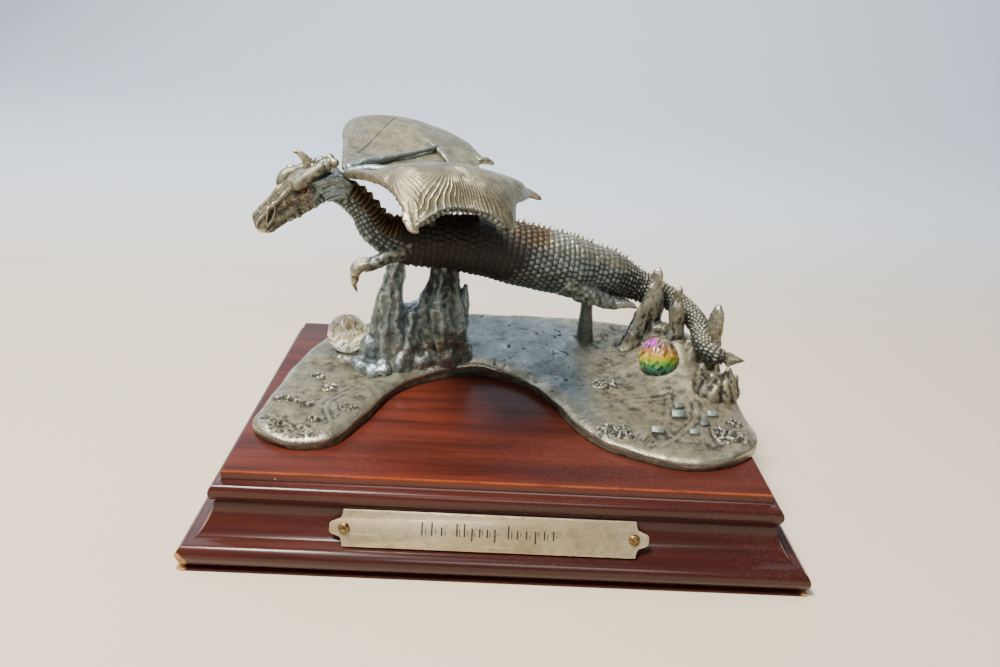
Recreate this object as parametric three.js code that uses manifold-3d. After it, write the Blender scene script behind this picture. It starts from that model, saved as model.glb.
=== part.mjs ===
// Cast pewter dragon on a landscape base, standing on a moulded wooden plinth.
// Millimetres, +Z up. The origin is the centre of the plinth's underside and the plinth's front faces -Y.
import * as THREE from 'three';
import { mergeVertices } from 'three/addons/utils/BufferGeometryUtils.js';
import Module from 'manifold-3d';

const wasm = await Module();
wasm.setup();

// Driving dimensions of the plinth
const PLINTH_TOP_LENGTH = 175;
const PLINTH_TOP_DEPTH = 125;
const PLINTH_HEIGHT = 29;
const PLINTH_SPREAD = 12.5;

// The plinth's cove: offset out from the top's edge and height
const COVE_TOP = new THREE.Vector2(2.0, 19.2);
const COVE_HOLLOW = new THREE.Vector2(3.0, 12.6);
const COVE_FOOT = new THREE.Vector2(7.3, 8.8);

// Driving dimensions of the nameplate and its pins
const PLATE_LENGTH = 101;
const PLATE_BODY_LENGTH = 92.7;
const PLATE_HEIGHT = 11.6;
const PLATE_THICKNESS = 0.8;
const PIN_RADIUS = 1.8;
const PIN_HEIGHT = 1.1;
const PIN_SPACING = 91.7;
const PLATE_OFF_CENTRE = -2.2;
const PLATE_DROP = 0.4;

// Driving dimensions of the casting and the stones set in it
const BASE_RIM_HEIGHT = 4.6;
const BACK_SLOPE = 0.12;
const BACK_SLOPE_START = 10;
const RIPPLE_HEIGHT = 0.35;
const RIM_ROUND_DROP = 1.3;
const RIM_ROUND_REACH = 1.6;
const DRAGON_YAW = THREE.MathUtils.degToRad(16);
const DRAGON_ORIGIN = new THREE.Vector3(-41.9, 10.7, 0);
const ROCK_HOLLOW = 0.84;
const ROCK_RIDGE = 0.22;
const ROCK_CHANCE = 0.18;
const WING_THICKNESS = 1.5;
const WING_RIB_HEIGHT = 0.5;
const CREST_TOOTH = 1.2;
const SCALE_ROW = 1.02;
const CRYSTAL_RADIUS = 7.8;
const EYE_RADIUS = 1.3;
const SETTING_GAP = 0.3;
const CRYSTAL_DETAIL = 2;
const EYE_DETAIL = 1;

const GROUND = PLINTH_HEIGHT + BASE_RIM_HEIGHT;
const CLEAR_CRYSTAL_CENTRE = new THREE.Vector3(-61.4, 20, GROUND + 9.2);
const RAINBOW_CRYSTAL_CENTRE = new THREE.Vector3(61.9, 11, GROUND + 9.4);

// Rises of the landscape: the mound under the tail, the block in front of it and the front rock's foot
const HILLS = [
  { x: 71, y: 22, reachX: 14, reachY: 19, high: 14 },
  { x: 79, y: -2, reachX: 9, reachY: 9, high: 4 },
  { x: -33, y: 21, reachX: 17, reachY: 13, high: 3 },
];

const vec = (x, y, z) => new THREE.Vector3(x, y, z);

// A point of the dragon's own frame: x runs back along the body, y to its right side, z up from the table.
function onDragon(x, y, z) {
  return vec(x, y, z).applyAxisAngle(vec(0, 0, 1), DRAGON_YAW).add(DRAGON_ORIGIN);
}

// A repeatable stand-in for chance, between 0 and 1.
function scatter(seed) {
  const wave = Math.sin(seed * 127.1 + 11.7) * 43758.5453;
  return wave - Math.floor(wave);
}

function toSolid(geometry) {
  const bare = geometry.index ? geometry.clone() : geometry;
  bare.deleteAttribute('normal');
  bare.deleteAttribute('uv');
  const merged = mergeVertices(bare, 1e-4);
  const mesh = new wasm.Mesh({
    numProp: 3,
    vertProperties: new Float32Array(merged.attributes.position.array),
    triVerts: new Uint32Array(merged.index.array),
  });
  return new wasm.Manifold(mesh);
}

function toGeometry(solid) {
  const mesh = solid.getMesh();
  const geometry = new THREE.BufferGeometry();
  geometry.setAttribute('position', new THREE.BufferAttribute(new Float32Array(mesh.vertProperties), 3));
  geometry.setIndex(new THREE.BufferAttribute(new Uint32Array(mesh.triVerts), 1));
  geometry.computeVertexNormals();
  return geometry;
}

function indexed(points, triangles) {
  const geometry = new THREE.BufferGeometry();
  const coordinates = points.flatMap((p) => p.toArray());
  geometry.setAttribute('position', new THREE.Float32BufferAttribute(coordinates, 3));
  geometry.setIndex(triangles.flat());
  return geometry;
}

const joinAll = (solids) => solids.reduce((whole, next) => whole.add(next));

// Closed skin over a list of rings with the same number of points, ends capped by fans.
function skinOfRings(rings) {
  const sides = rings[0].length;
  const points = rings.flat();
  const triangles = [];
  for (let row = 0; row + 1 < rings.length; row += 1) {
    for (let side = 0; side < sides; side += 1) {
      const here = row * sides + side;
      const beside = row * sides + ((side + 1) % sides);
      triangles.push([here, beside, beside + sides], [here, beside + sides, here + sides]);
    }
  }
  const last = (rings.length - 1) * sides;
  const capCentre = (ring) => ring.reduce((sum, p) => sum.add(p), vec(0, 0, 0)).divideScalar(sides);
  const first = points.push(capCentre(rings[0])) - 1;
  const end = points.push(capCentre(rings[rings.length - 1])) - 1;
  for (let side = 0; side < sides; side += 1) {
    const next = (side + 1) % sides;
    triangles.push([first, next, side], [end, last + side, last + next]);
  }
  return indexed(points, triangles);
}

// Limb along stations of { at, high, wide }: half height and half width of an oval section.
function limb(stations, steps, sides, swell = () => 1) {
  const path = new THREE.CatmullRomCurve3(stations.map((s) => s.at), false, 'centripetal');
  const last = stations.length - 1;
  const blend = (key, t) => {
    const slot = Math.min(Math.floor(t * last), last - 1);
    const share = THREE.MathUtils.smoothstep(t * last - slot, 0, 1);
    return THREE.MathUtils.lerp(stations[slot][key], stations[slot + 1][key], share);
  };
  const rings = [];
  for (let step = 0; step <= steps; step += 1) {
    const t = step / steps;
    const centre = path.getPoint(t);
    const along = path.getTangent(t);
    const side = vec(-along.y, along.x, 0);
    if (side.length() < 1e-3) {
      side.set(1, 0, 0);
    }
    side.normalize();
    const up = along.clone().cross(side).normalize();
    const ring = [];
    for (let i = 0; i < sides; i += 1) {
      const angle = (i / sides) * Math.PI * 2;
      const grow = swell(t, angle, step, i);
      ring.push(
        centre
          .clone()
          .addScaledVector(side, Math.cos(angle) * blend('wide', t) * grow)
          .addScaledVector(up, Math.sin(angle) * blend('high', t) * grow),
      );
    }
    rings.push(ring);
  }
  return toSolid(skinOfRings(rings));
}

const station = (at, high, wide = high) => ({ at, high, wide });

// Tapered thorn from foot to tip, for claws and points of rock.
function thorn(foot, tip, radius, sides = 4) {
  const height = foot.distanceTo(tip);
  const cone = new THREE.ConeGeometry(radius, height, sides, 1);
  cone.translate(0, height / 2, 0);
  const aim = new THREE.Quaternion().setFromUnitVectors(vec(0, 1, 0), tip.clone().sub(foot).normalize());
  cone.applyQuaternion(aim).translate(foot.x, foot.y, foot.z);
  return toSolid(cone);
}

function lump(centre, size, seed) {
  const stone = new THREE.OctahedronGeometry(1, 0);
  stone.rotateX(scatter(seed) * 3).rotateZ(scatter(seed + 0.5) * 6);
  stone.scale(size.x, size.y, size.z).translate(centre.x, centre.y, centre.z);
  return toSolid(stone);
}

// Plinth: each profile point is an offset out from the top's edge and a height, mitred round a rectangle.
function plinthProfile() {
  const profile = [
    [0, PLINTH_HEIGHT],
    [0, 25.9],
    [1.6, 25.4],
  ];
  const bead = new THREE.EllipseCurve(1.6, 22.6, 1.9, 2.8, Math.PI / 2, -Math.PI / 2, true);
  bead.getPoints(6).slice(1).forEach((p) => profile.push([p.x, p.y]));
  profile.push([COVE_TOP.x, COVE_TOP.y]);
  const cove = new THREE.QuadraticBezierCurve(COVE_TOP, COVE_HOLLOW, COVE_FOOT);
  cove.getPoints(4).slice(1).forEach((p) => profile.push([p.x, p.y]));
  const ovolo = new THREE.EllipseCurve(8.1, 4.5, PLINTH_SPREAD - 8.1, 4.0, Math.PI / 2, 0, true);
  ovolo.getPoints(4).forEach((p) => profile.push([p.x, p.y]));
  profile.push([PLINTH_SPREAD - 0.4, 0]);
  return profile;
}

function woodenPlinth() {
  const rings = plinthProfile().reverse().map(([offset, height]) => {
    const x = PLINTH_TOP_LENGTH / 2 + offset;
    const y = PLINTH_TOP_DEPTH / 2 + offset;
    return [vec(-x, -y, height), vec(x, -y, height), vec(x, y, height), vec(-x, y, height)];
  });
  return toSolid(skinOfRings(rings));
}

// Nameplate: a bar with scooped corners and a small ear at each end, in its own flat frame.
function nameplate() {
  const half = PLATE_BODY_LENGTH / 2;
  const high = PLATE_HEIGHT / 2;
  const tip = PLATE_LENGTH / 2;
  const earRoot = 2.7;
  const earEnd = 1.6;
  const scoop = 1.4;
  const outline = new THREE.Shape();
  outline.moveTo(-half, -high);
  outline.lineTo(half, -high);
  outline.quadraticCurveTo(half + scoop * 0.2, -earRoot, half + scoop, -earRoot);
  outline.lineTo(tip, -earEnd);
  outline.lineTo(tip, earEnd);
  outline.lineTo(half + scoop, earRoot);
  outline.quadraticCurveTo(half + scoop * 0.2, earRoot, half, high);
  outline.lineTo(-half, high);
  outline.quadraticCurveTo(-half - scoop * 0.2, earRoot, -half - scoop, earRoot);
  outline.lineTo(-tip, earEnd);
  outline.lineTo(-tip, -earEnd);
  outline.lineTo(-half - scoop, -earRoot);
  outline.quadraticCurveTo(-half - scoop * 0.2, -earRoot, -half, -high);
  const plate = new THREE.ExtrudeGeometry(outline, {
    depth: PLATE_THICKNESS,
    bevelEnabled: false,
    curveSegments: 4,
  });
  return toSolid(plate);
}

function nameplatePin() {
  const profile = new THREE.EllipseCurve(0, 0, PIN_RADIUS, PIN_HEIGHT, 0, Math.PI / 2).getPoints(4);
  profile[profile.length - 1].x = 0;
  const head = new THREE.LatheGeometry([new THREE.Vector2(0, 0), ...profile], 14);
  head.rotateX(Math.PI / 2);
  return toSolid(head);
}

// Landscape base: its outline in plan, two lobes in front joined by a bay.
function baseOutline() {
  const bay = [
    [-83.8, -37.3], [-69.1, -47.9], [-56.5, -44.9], [-48.3, -29], [-39.4, -4.9], [-27.1, 7.7],
    [-7.6, 15.3], [8.3, 7.9], [20.3, -9.4], [26.2, -24.2], [34.8, -37.4], [47.4, -45.4],
    [63.2, -50.3], [79.6, -45.2],
  ];
  const back = [
    [89.8, -34], [90.2, -10], [89, 14], [82, 36], [66, 52], [40, 59], [8, 60], [-24, 58],
    [-50, 50], [-68, 38], [-78.7, 16], [-82, -7], [-83.5, -24],
  ];
  return [...bay, ...back].map(([x, y]) => vec(x, y, 0));
}

const rim = new THREE.CatmullRomCurve3(baseOutline(), true, 'centripetal').getPoints(60);

function rimDistance(x, y) {
  let nearest = Infinity;
  rim.forEach((p, i) => {
    const q = rim[(i + 1) % rim.length];
    const run = (q.x - p.x) ** 2 + (q.y - p.y) ** 2;
    if (run === 0) return;
    const reach = ((x - p.x) * (q.x - p.x) + (y - p.y) * (q.y - p.y)) / run;
    const share = THREE.MathUtils.clamp(reach, 0, 1);
    const offX = x - p.x - share * (q.x - p.x);
    const offY = y - p.y - share * (q.y - p.y);
    nearest = Math.min(nearest, Math.hypot(offX, offY));
  });
  return nearest;
}

// Height of the landscape over the table.
function ground(x, y) {
  const slope = BACK_SLOPE * Math.max(0, y - BACK_SLOPE_START);
  const rise = HILLS.reduce((sum, hill) => {
    const awayX = (x - hill.x) / hill.reachX;
    const awayY = (y - hill.y) / hill.reachY;
    return sum + hill.high * Math.exp(-(awayX ** 2) - awayY ** 2);
  }, 0);
  const ripple = RIPPLE_HEIGHT * Math.sin(x * 0.31 + 1.3) * Math.sin(y * 0.27 + 0.4);
  const roundOff = RIM_ROUND_DROP * Math.exp(-rimDistance(x, y) / RIM_ROUND_REACH);
  return GROUND + slope + rise + ripple - roundOff;
}

function landscape() {
  const margin = 4;
  const box = new THREE.Box3().setFromPoints(rim).expandByScalar(margin);
  const size = box.getSize(vec(0, 0, 0));
  const middle = box.getCenter(vec(0, 0, 0));
  const block = new THREE.BoxGeometry(size.x, size.y, 2, 23, 14, 1);
  block.translate(middle.x, middle.y, 0);
  const place = block.attributes.position;
  for (let i = 0; i < place.count; i += 1) {
    const top = place.getZ(i) > 0;
    place.setZ(i, top ? ground(place.getX(i), place.getY(i)) : PLINTH_HEIGHT);
  }
  const outline = new THREE.Shape(rim.slice(0, -1).map((p) => new THREE.Vector2(p.x, p.y)));
  const prism = new THREE.ExtrudeGeometry(outline, { depth: 60, bevelEnabled: false });
  prism.translate(0, 0, PLINTH_HEIGHT);
  return toSolid(block).intersect(toSolid(prism));
}

// Rock spire: rings of uneven radius between levels of { at, wide, deep }.
function spire(levels, steps, sides, seed, turn = 0) {
  const path = new THREE.CatmullRomCurve3(levels.map((l) => l.at), false, 'centripetal');
  const last = levels.length - 1;
  const rings = [];
  for (let step = 0; step <= steps; step += 1) {
    const t = step / steps;
    const slot = Math.min(Math.floor(t * last), last - 1);
    const share = t * last - slot;
    const wide = THREE.MathUtils.lerp(levels[slot].wide, levels[slot + 1].wide, share);
    const deep = THREE.MathUtils.lerp(levels[slot].deep, levels[slot + 1].deep, share);
    const centre = path.getPoint(t);
    const ring = [];
    for (let i = 0; i < sides; i += 1) {
      const angle = (i / sides) * Math.PI * 2;
      const chance = scatter(seed + i * 3.1 + Math.floor(step / 2) * 0.7) - 0.5;
      const rough = ROCK_HOLLOW + ROCK_RIDGE * (i % 2) + ROCK_CHANCE * chance;
      const offset = vec(Math.cos(angle) * wide * rough, Math.sin(angle) * deep * rough, 0);
      ring.push(centre.clone().add(offset.applyAxisAngle(vec(0, 0, 1), turn)));
    }
    rings.push(ring);
  }
  return toSolid(skinOfRings(rings));
}

const level = (at, wide, deep = wide) => ({ at, wide, deep });

// Rock under the dragon's chest: a spread foot and two spires that meet the belly.
function frontRock() {
  const turn = THREE.MathUtils.degToRad(35);
  const foot = spire([
    level(vec(-33.5, 20, PLINTH_HEIGHT + 2), 24, 13),
    level(vec(-34, 20, GROUND + 5), 19.5, 11),
    level(vec(-34, 19, GROUND + 14), 14.5, 8.5),
    level(vec(-33, 17, GROUND + 24), 9, 6),
  ], 5, 16, 3, turn);
  const tall = spire([
    level(vec(-40, 15, GROUND + 2), 9),
    level(vec(-40, 14, GROUND + 18), 7),
    level(vec(-39.5, 12.5, GROUND + 28), 6),
    level(vec(-40, 11.5, GROUND + 38), 4.6),
    level(vec(-41, 10.8, GROUND + 46), 4.4),
  ], 7, 10, 8);
  const broad = spire([
    level(vec(-24, 24, GROUND + 2), 10.5),
    level(vec(-24.5, 19, GROUND + 18), 10.5),
    level(vec(-24.5, 17, GROUND + 29), 9.2),
    level(vec(-23.5, 16.2, GROUND + 36), 6.2),
    level(vec(-22.8, 16, GROUND + 43), 4.4),
  ], 7, 10, 15);
  const toe = lump(vec(-48.5, 3.2, GROUND + 1.5), vec(3, 4, 3.4), 2);
  const spur = thorn(vec(-16.5, 18.4, GROUND + 18), vec(-15.1, 18.4, GROUND + 33), 3.6, 6);
  return joinAll([foot, tall, broad, toe, spur]);
}

// Rocks under the tail: a row of three horns on the mound and a low striated block in front.
function rearRock() {
  const horn = (foot, tip, radius, seed) => spire([
    level(foot, radius),
    level(foot.clone().lerp(tip, 0.35), radius * 0.72),
    level(foot.clone().lerp(tip, 0.75), radius * 0.46),
    level(tip.clone(), radius * 0.1),
  ], 5, 8, seed);
  const pieces = [
    horn(vec(54.5, 33.5, GROUND - 2), vec(61.4, 30, 73.2), 9, 4),
    horn(vec(67, 21, GROUND + 4), vec(68.5, 20, 69.8), 6.2, 9),
    horn(vec(82, 11.5, GROUND + 2), vec(83.1, 12, 65.7), 5.6, 12),
  ];
  const block = spire([
    level(vec(80.5, -5, GROUND - 2), 8.6, 8),
    level(vec(80.5, -4.5, GROUND + 5), 7.8, 7),
    level(vec(80.5, -3, GROUND + 11), 5.6, 5),
  ], 4, 12, 21);
  const points = [
    thorn(vec(76, -4.5, GROUND + 4), vec(75.4, -4.2, 48.4), 4.2, 7),
    thorn(vec(85, -5, GROUND + 3), vec(86.3, -4.2, 46.4), 4.6, 7),
  ];
  return joinAll([...pieces, block, ...points]);
}

// Backbone: neck, trunk and tail in one oval limb that narrows to the tail's barb.
const BACKBONE = [
  station(onDragon(-27, 0, 107.2), 5.2, 4.4),
  station(onDragon(-18.5, 0, 103.8), 4.7, 4.3),
  station(onDragon(-11.6, 0, 97.2), 4.7, 4.4),
  station(onDragon(-6.2, 0, 89.4), 6, 5.4),
  station(onDragon(3.6, 0, 84.8), 8.4, 7.8),
  station(onDragon(17.4, 0, 84.2), 10, 9.2),
  station(onDragon(33.1, 0, 82.2), 11, 10.2),
  station(onDragon(49.4, 0, 78.2), 12, 10.8),
  station(onDragon(66.4, 0, 73.8), 12, 10.6),
  station(onDragon(84, 0, 70.4), 9, 8.4),
  station(vec(56.9, 39, 62.5), 6, 5.8),
  station(vec(69.7, 36, 58.2), 4.7, 4.7),
  station(vec(78.3, 21, 53.6), 4.1, 4.1),
  station(vec(77.9, 8.5, 50.2), 3.6, 3.6),
  station(vec(81.3, 2, 49), 3, 3),
  station(vec(85.8, 0, 48.4), 2.3, 2.3),
];

// The crest is the top edge of the limb, raised to a tooth at every second ring.
function backbone() {
  const sides = 12;
  const top = sides / 4;
  const toothed = (t, angle, step, i) => {
    if (step % 2 === 0) {
      return 1;
    }
    return i === top ? CREST_TOOTH : SCALE_ROW;
  };
  return limb(BACKBONE, 42, sides, toothed);
}

function tailBarb() {
  const blade = new THREE.Shape();
  blade.moveTo(-1.2, 0);
  blade.lineTo(1, 3.1);
  blade.lineTo(7.6, 0);
  blade.lineTo(1, -3.1);
  const barb = new THREE.ExtrudeGeometry(blade, { depth: 1.8, bevelEnabled: false });
  barb.translate(0, 0, -0.9).rotateX(Math.PI / 3).rotateZ(-0.18).translate(84.6, 0.2, 48.4);
  return toSolid(barb);
}

// Head: a horse-like muzzle on a deep skull, brow rolls, a curled forelock horn and a short mane.
function head() {
  const skull = limb([
    station(onDragon(-20, 0, 108), 4.6, 4.2),
    station(onDragon(-26, 0, 108), 6.2, 5),
    station(onDragon(-32, 0, 105), 7, 5.2),
    station(onDragon(-37, 0, 101.6), 6, 4.3),
    station(onDragon(-42.3, 0, 97), 4.4, 3.4),
    station(onDragon(-46, 0, 93.4), 4, 3.3),
    station(onDragon(-49, 0, 91.2), 2, 2),
  ], 9, 12, (t, angle, step, i) => (i === 3 && step % 2 === 1 && t < 0.4 ? 1.3 : 1));
  const pieces = [skull];
  [-1, 1].forEach((side) => {
    pieces.push(limb([
      station(onDragon(-38.5, side * 3.6, 106), 1),
      station(onDragon(-35, side * 4.2, 108), 2.3),
      station(onDragon(-28, side * 5, 111), 2.2),
      station(onDragon(-21.5, side * 6.4, 114.6), 2),
      station(onDragon(-20.4, side * 6.8, 115.2), 0.8),
    ], 5, 5));
    pieces.push(lump(onDragon(-44.6, side * 2.4, 96.4), vec(2.2, 1.6, 2.2), 5));
    pieces.push(lump(onDragon(-29, side * 4, 101), vec(3.4, 2, 3), 7));
  });
  pieces.push(limb([
    station(onDragon(-29.5, 0, 111), 2.4, 1.6),
    station(onDragon(-32, 0, 114.8), 1.6, 1.3),
    station(onDragon(-35.2, 0, 117.6), 0.5),
  ], 3, 5));
  return joinAll(pieces);
}

// Wing contour in the dragon's frame for one side, front to back.
// Each row runs from the shoulder line over the crest to the scalloped outer edge.
const WING_ROWS = [
  [[-18, 0, 110.6], [-14, 25, 115.8], [-11.6, 48.5, 118.4], [-8.6, 61, 115.4], [-6, 67.8, 106.9]],
  [[-11.6, 0, 109.8], [-9.5, 22, 114.8], [-8.6, 48, 120.9], [-5, 59, 118.6], [-1.8, 65.9, 110.4]],
  [[-3.2, 0, 108.4], [-2.2, 21, 114.7], [0, 47.7, 122.3], [2.4, 56.5, 120.4], [5.2, 61.5, 114.7]],
  [[5.3, 0, 106.4], [8.5, 22, 115.2], [9.5, 47.7, 122.1], [11.5, 54.5, 119.6], [14.3, 58.3, 113.6]],
  [[12.7, 0, 104.4], [15.9, 22, 115], [16.5, 46.6, 121], [18, 54.5, 117.4], [19.4, 58.3, 111.2]],
  [[19, 0, 102], [22.3, 22, 113.6], [23.3, 45.6, 118.9], [25.5, 54, 113.2], [26.5, 58.3, 104.6]],
  [[24.4, 0, 98.8], [27.6, 21, 110.4], [29.7, 41.3, 116.8], [29.9, 46.5, 114.2], [29.7, 49.8, 110.1]],
  [[28.6, 0, 96.4], [31.8, 19, 107.8], [35.3, 37, 114.2], [34.6, 41.5, 112.6], [33.3, 44.5, 110]],
  [[31.8, 0, 94], [34.5, 14, 103], [39, 25, 109.6], [41.6, 27.4, 109], [43, 28.6, 108]],
];

const wingCurves = [-1, 1].map((side) => WING_ROWS.map(
  (row) => new THREE.CatmullRomCurve3(row.map(([x, y, z]) => vec(x, y * side, z)), false, 'centripetal'),
));

// Middle surface of the wings: across runs from -1 at the left edge over the back to 1 at the right edge.
function wingPoint(across, back) {
  const curves = wingCurves[across < 0 ? 0 : 1];
  const knots = curves.map((curve) => curve.getPoint(Math.abs(across)));
  return new THREE.CatmullRomCurve3(knots, false, 'centripetal').getPoint(back);
}

// Both wings in one thin skin, with a raised rib along every second row.
function wings() {
  const rows = 16;
  const columns = 14;
  const grid = [];
  for (let j = 0; j <= rows; j += 1) {
    for (let i = 0; i <= columns; i += 1) {
      grid.push(wingPoint((2 * i) / columns - 1, j / rows));
    }
  }
  const id = (j, i) => j * (columns + 1) + i;
  const upper = [];
  const lower = [];
  for (let j = 0; j <= rows; j += 1) {
    for (let i = 0; i <= columns; i += 1) {
      const across = grid[id(j, Math.min(i + 1, columns))].clone().sub(grid[id(j, Math.max(i - 1, 0))]);
      const back = grid[id(Math.min(j + 1, rows), i)].clone().sub(grid[id(Math.max(j - 1, 0), i)]);
      const normal = back.cross(across).normalize();
      const rib = j % 2 === 0 ? WING_RIB_HEIGHT : 0;
      upper.push(grid[id(j, i)].clone().addScaledVector(normal, WING_THICKNESS / 2 + rib));
      lower.push(grid[id(j, i)].clone().addScaledVector(normal, -WING_THICKNESS / 2));
    }
  }
  const count = upper.length;
  const triangles = [];
  const quad = (a, b, c, d) => triangles.push([a, b, c], [a, c, d]);
  for (let j = 0; j < rows; j += 1) {
    for (let i = 0; i < columns; i += 1) {
      quad(id(j, i), id(j + 1, i), id(j + 1, i + 1), id(j, i + 1));
      quad(count + id(j, i), count + id(j, i + 1), count + id(j + 1, i + 1), count + id(j + 1, i));
    }
    quad(id(j, 0), count + id(j, 0), count + id(j + 1, 0), id(j + 1, 0));
    quad(id(j, columns), id(j + 1, columns), count + id(j + 1, columns), count + id(j, columns));
  }
  for (let i = 0; i < columns; i += 1) {
    quad(id(0, i), id(0, i + 1), count + id(0, i + 1), count + id(0, i));
    quad(id(rows, i), count + id(rows, i), count + id(rows, i + 1), id(rows, i + 1));
  }
  const placed = [...upper, ...lower].map((p) => onDragon(p.x, p.y, p.z));
  return toSolid(indexed(placed, triangles));
}

// Arm from the shoulder to the elbow on top of the wing, and a claw at the wing's rear tip.
function wingArm(side) {
  const arm = limb([
    station(onDragon(12, side * 5, 90), 3),
    station(onDragon(8, side * 8, 103), 2.4),
    station(onDragon(7, side * 14, 112.6), 2.2),
    station(onDragon(18, side * 21, 116), 1.8),
  ], 4, 5);
  const tipClaw = thorn(onDragon(39, side * 26, 109.4), onDragon(46, side * 29.9, 106.9), 1.8, 4);
  return joinAll([arm, tipClaw]);
}

// The near foreleg reaches forward off the rock with hanging claws; the far one grips the rock's back.
// Stations in the dragon's frame: x, y, z, half height, half width.
const NEAR_FORELEG = [
  [5, -5.4, 84, 4, 4],
  [-3.2, -6.4, 82, 2.4, 2.4],
  [-8.6, -6.6, 79.2, 1.8, 2.6],
  [-14.6, -6.6, 77.4, 1, 3.2],
];
const FAR_FORELEG = [
  [5, 5.4, 84, 4, 4],
  [1.5, 6.4, 78.5, 2.6, 2.6],
  [0.2, 6.2, 73.5, 2, 2.4],
  [0.5, 5.6, 68.5, 1.2, 2.4],
];
const CLAW_RADIUS = 1.3;
const TOE_RADIUS = 1.7;

function forelegs() {
  const pieces = [NEAR_FORELEG, FAR_FORELEG].map((path) => limb(
    path.map(([x, y, z, high, wide]) => station(onDragon(x, y, z), high, wide)),
    4,
    6,
  ));
  [-1, 0, 1].forEach((finger) => {
    const nearTip = onDragon(-14.8, -6.6 + finger * 2.6, 70.6 + finger);
    const farTip = onDragon(0.6 + finger * 2.4, 5.2, 63.5);
    pieces.push(thorn(onDragon(-13.4, -6.6 + finger * 2.3, 78), nearTip, CLAW_RADIUS, 3));
    pieces.push(thorn(onDragon(0.3 + finger * 1.8, 5.8, 69), farTip, CLAW_RADIUS, 3));
  });
  return joinAll(pieces);
}

// The hind legs trail under the tail's root.
function hindlegs() {
  const pieces = [];
  [-1, 1].forEach((side) => {
    pieces.push(limb([
      station(onDragon(74, side * 5.6, 64), 4.4, 3.6),
      station(onDragon(83, side * 6, 59.8), 3.4, 3.2),
      station(onDragon(91, side * 6, 57.6), 2.2, 3),
    ], 4, 6));
    [-1, 0, 1].forEach((toe) => {
      const foot = onDragon(89.5, side * 6 + toe * 2, 57.6);
      pieces.push(thorn(foot, onDragon(99, side * 6 + toe * 2.8, 57.4 - Math.abs(toe)), TOE_RADIUS, 3));
    });
  });
  return joinAll(pieces);
}

// Post under the hips, a plain tapered prop.
function prop() {
  return limb([
    station(vec(37.6, 43, GROUND), 2.8, 3),
    station(vec(36.4, 39, GROUND + 14), 2.3, 2.4),
    station(vec(35.4, 35, GROUND + 31), 2, 2.1),
  ], 4, 8);
}

// Village on the right lobe: gabled houses and clumps of trees.
function village() {
  const house = ([x, y, turn]) => {
    const gable = new THREE.Shape();
    gable.moveTo(-1.5, -2);
    gable.lineTo(1.5, -2);
    gable.lineTo(1.5, 1);
    gable.lineTo(0, 2);
    gable.lineTo(-1.5, 1);
    const block = new THREE.ExtrudeGeometry(gable, { depth: 4.4, bevelEnabled: false });
    block.translate(0, 0, -2.2).rotateX(Math.PI / 2).rotateZ(Math.PI / 2 + turn);
    return toSolid(block.translate(x, y, ground(x, y)));
  };
  const houses = [
    [64.5, -21, 0.05], [66.1, -14, 0.2], [54.8, -32.9, -0.1],
    [77.4, -19, -0.1], [67.7, -33.1, 0], [72.8, -26.2, 0.3],
  ];
  return joinAll([...houses.map(house), clump(40, -33.5, 6, 6, 31), clump(80, -33, 5, 6, 57)]);
}

// Clump of small rounded bushes scattered over a disc.
function clump(x, y, radius, count, seed) {
  const bushes = [];
  for (let i = 0; i < count; i += 1) {
    const turn = i * 2.4;
    const away = radius * Math.sqrt((i + 0.5) / count);
    const bx = x + Math.cos(turn) * away;
    const by = y + Math.sin(turn) * away * 0.75;
    const size = 1.7 + 0.7 * scatter(seed + i);
    bushes.push(lump(vec(bx, by, ground(bx, by) + size * 0.25), vec(size, size, size), seed + i));
  }
  return joinAll(bushes);
}

// Woods and leaves on the left lobe, rubble in the bay.
function outskirts() {
  return joinAll([
    clump(-55, -22, 4, 3, 71),
    clump(-74, -22, 4, 3, 83),
    clump(-62, -6, 5, 4, 91),
    clump(-72, -36, 4.5, 3, 101),
    clump(-61, -38, 5, 4, 113),
    clump(42, 2, 4.5, 3, 127),
  ]);
}

// Low seat that cups the underside of a crystal.
function seat(centre) {
  const height = 5;
  const cup = new THREE.CylinderGeometry(CRYSTAL_RADIUS - 0.4, CRYSTAL_RADIUS + 1.4, height, 12);
  cup.rotateX(Math.PI / 2);
  return toSolid(cup.translate(centre.x, centre.y, centre.z - CRYSTAL_RADIUS + height / 2 - 1.8));
}

const eyeCentre = (side) => onDragon(-32.2, side * 5.0, 105.4);

// Socket around a stone: the stone's own facets, larger by the setting gap.
function socket(centre, radius, detail) {
  const hollow = new THREE.IcosahedronGeometry(radius + SETTING_GAP * 1.1, detail);
  return toSolid(hollow.translate(centre.x, centre.y, centre.z));
}

function dragonCasting() {
  const whole = joinAll([
    landscape(),
    frontRock(),
    rearRock(),
    prop(),
    village(),
    outskirts(),
    seat(CLEAR_CRYSTAL_CENTRE),
    seat(RAINBOW_CRYSTAL_CENTRE),
    backbone(),
    tailBarb(),
    head(),
    forelegs(),
    hindlegs(),
    wings(),
    wingArm(-1),
    wingArm(1),
  ]);
  return whole
    .subtract(socket(CLEAR_CRYSTAL_CENTRE, CRYSTAL_RADIUS, CRYSTAL_DETAIL))
    .subtract(socket(RAINBOW_CRYSTAL_CENTRE, CRYSTAL_RADIUS, CRYSTAL_DETAIL))
    .subtract(socket(eyeCentre(-1), EYE_RADIUS, EYE_DETAIL))
    .subtract(socket(eyeCentre(1), EYE_RADIUS, EYE_DETAIL));
}

function material(color, roughness, metalness) {
  return new THREE.MeshStandardMaterial({ color, roughness, metalness });
}

function named(name, geometry, look) {
  const mesh = new THREE.Mesh(geometry, look);
  mesh.name = name;
  return mesh;
}

function stone(name, centre, radius, detail, color) {
  const ball = new THREE.IcosahedronGeometry(radius, detail);
  const mesh = named(name, toGeometry(toSolid(ball)), material(color, 0.05, 0));
  mesh.position.copy(centre);
  return mesh;
}

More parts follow.
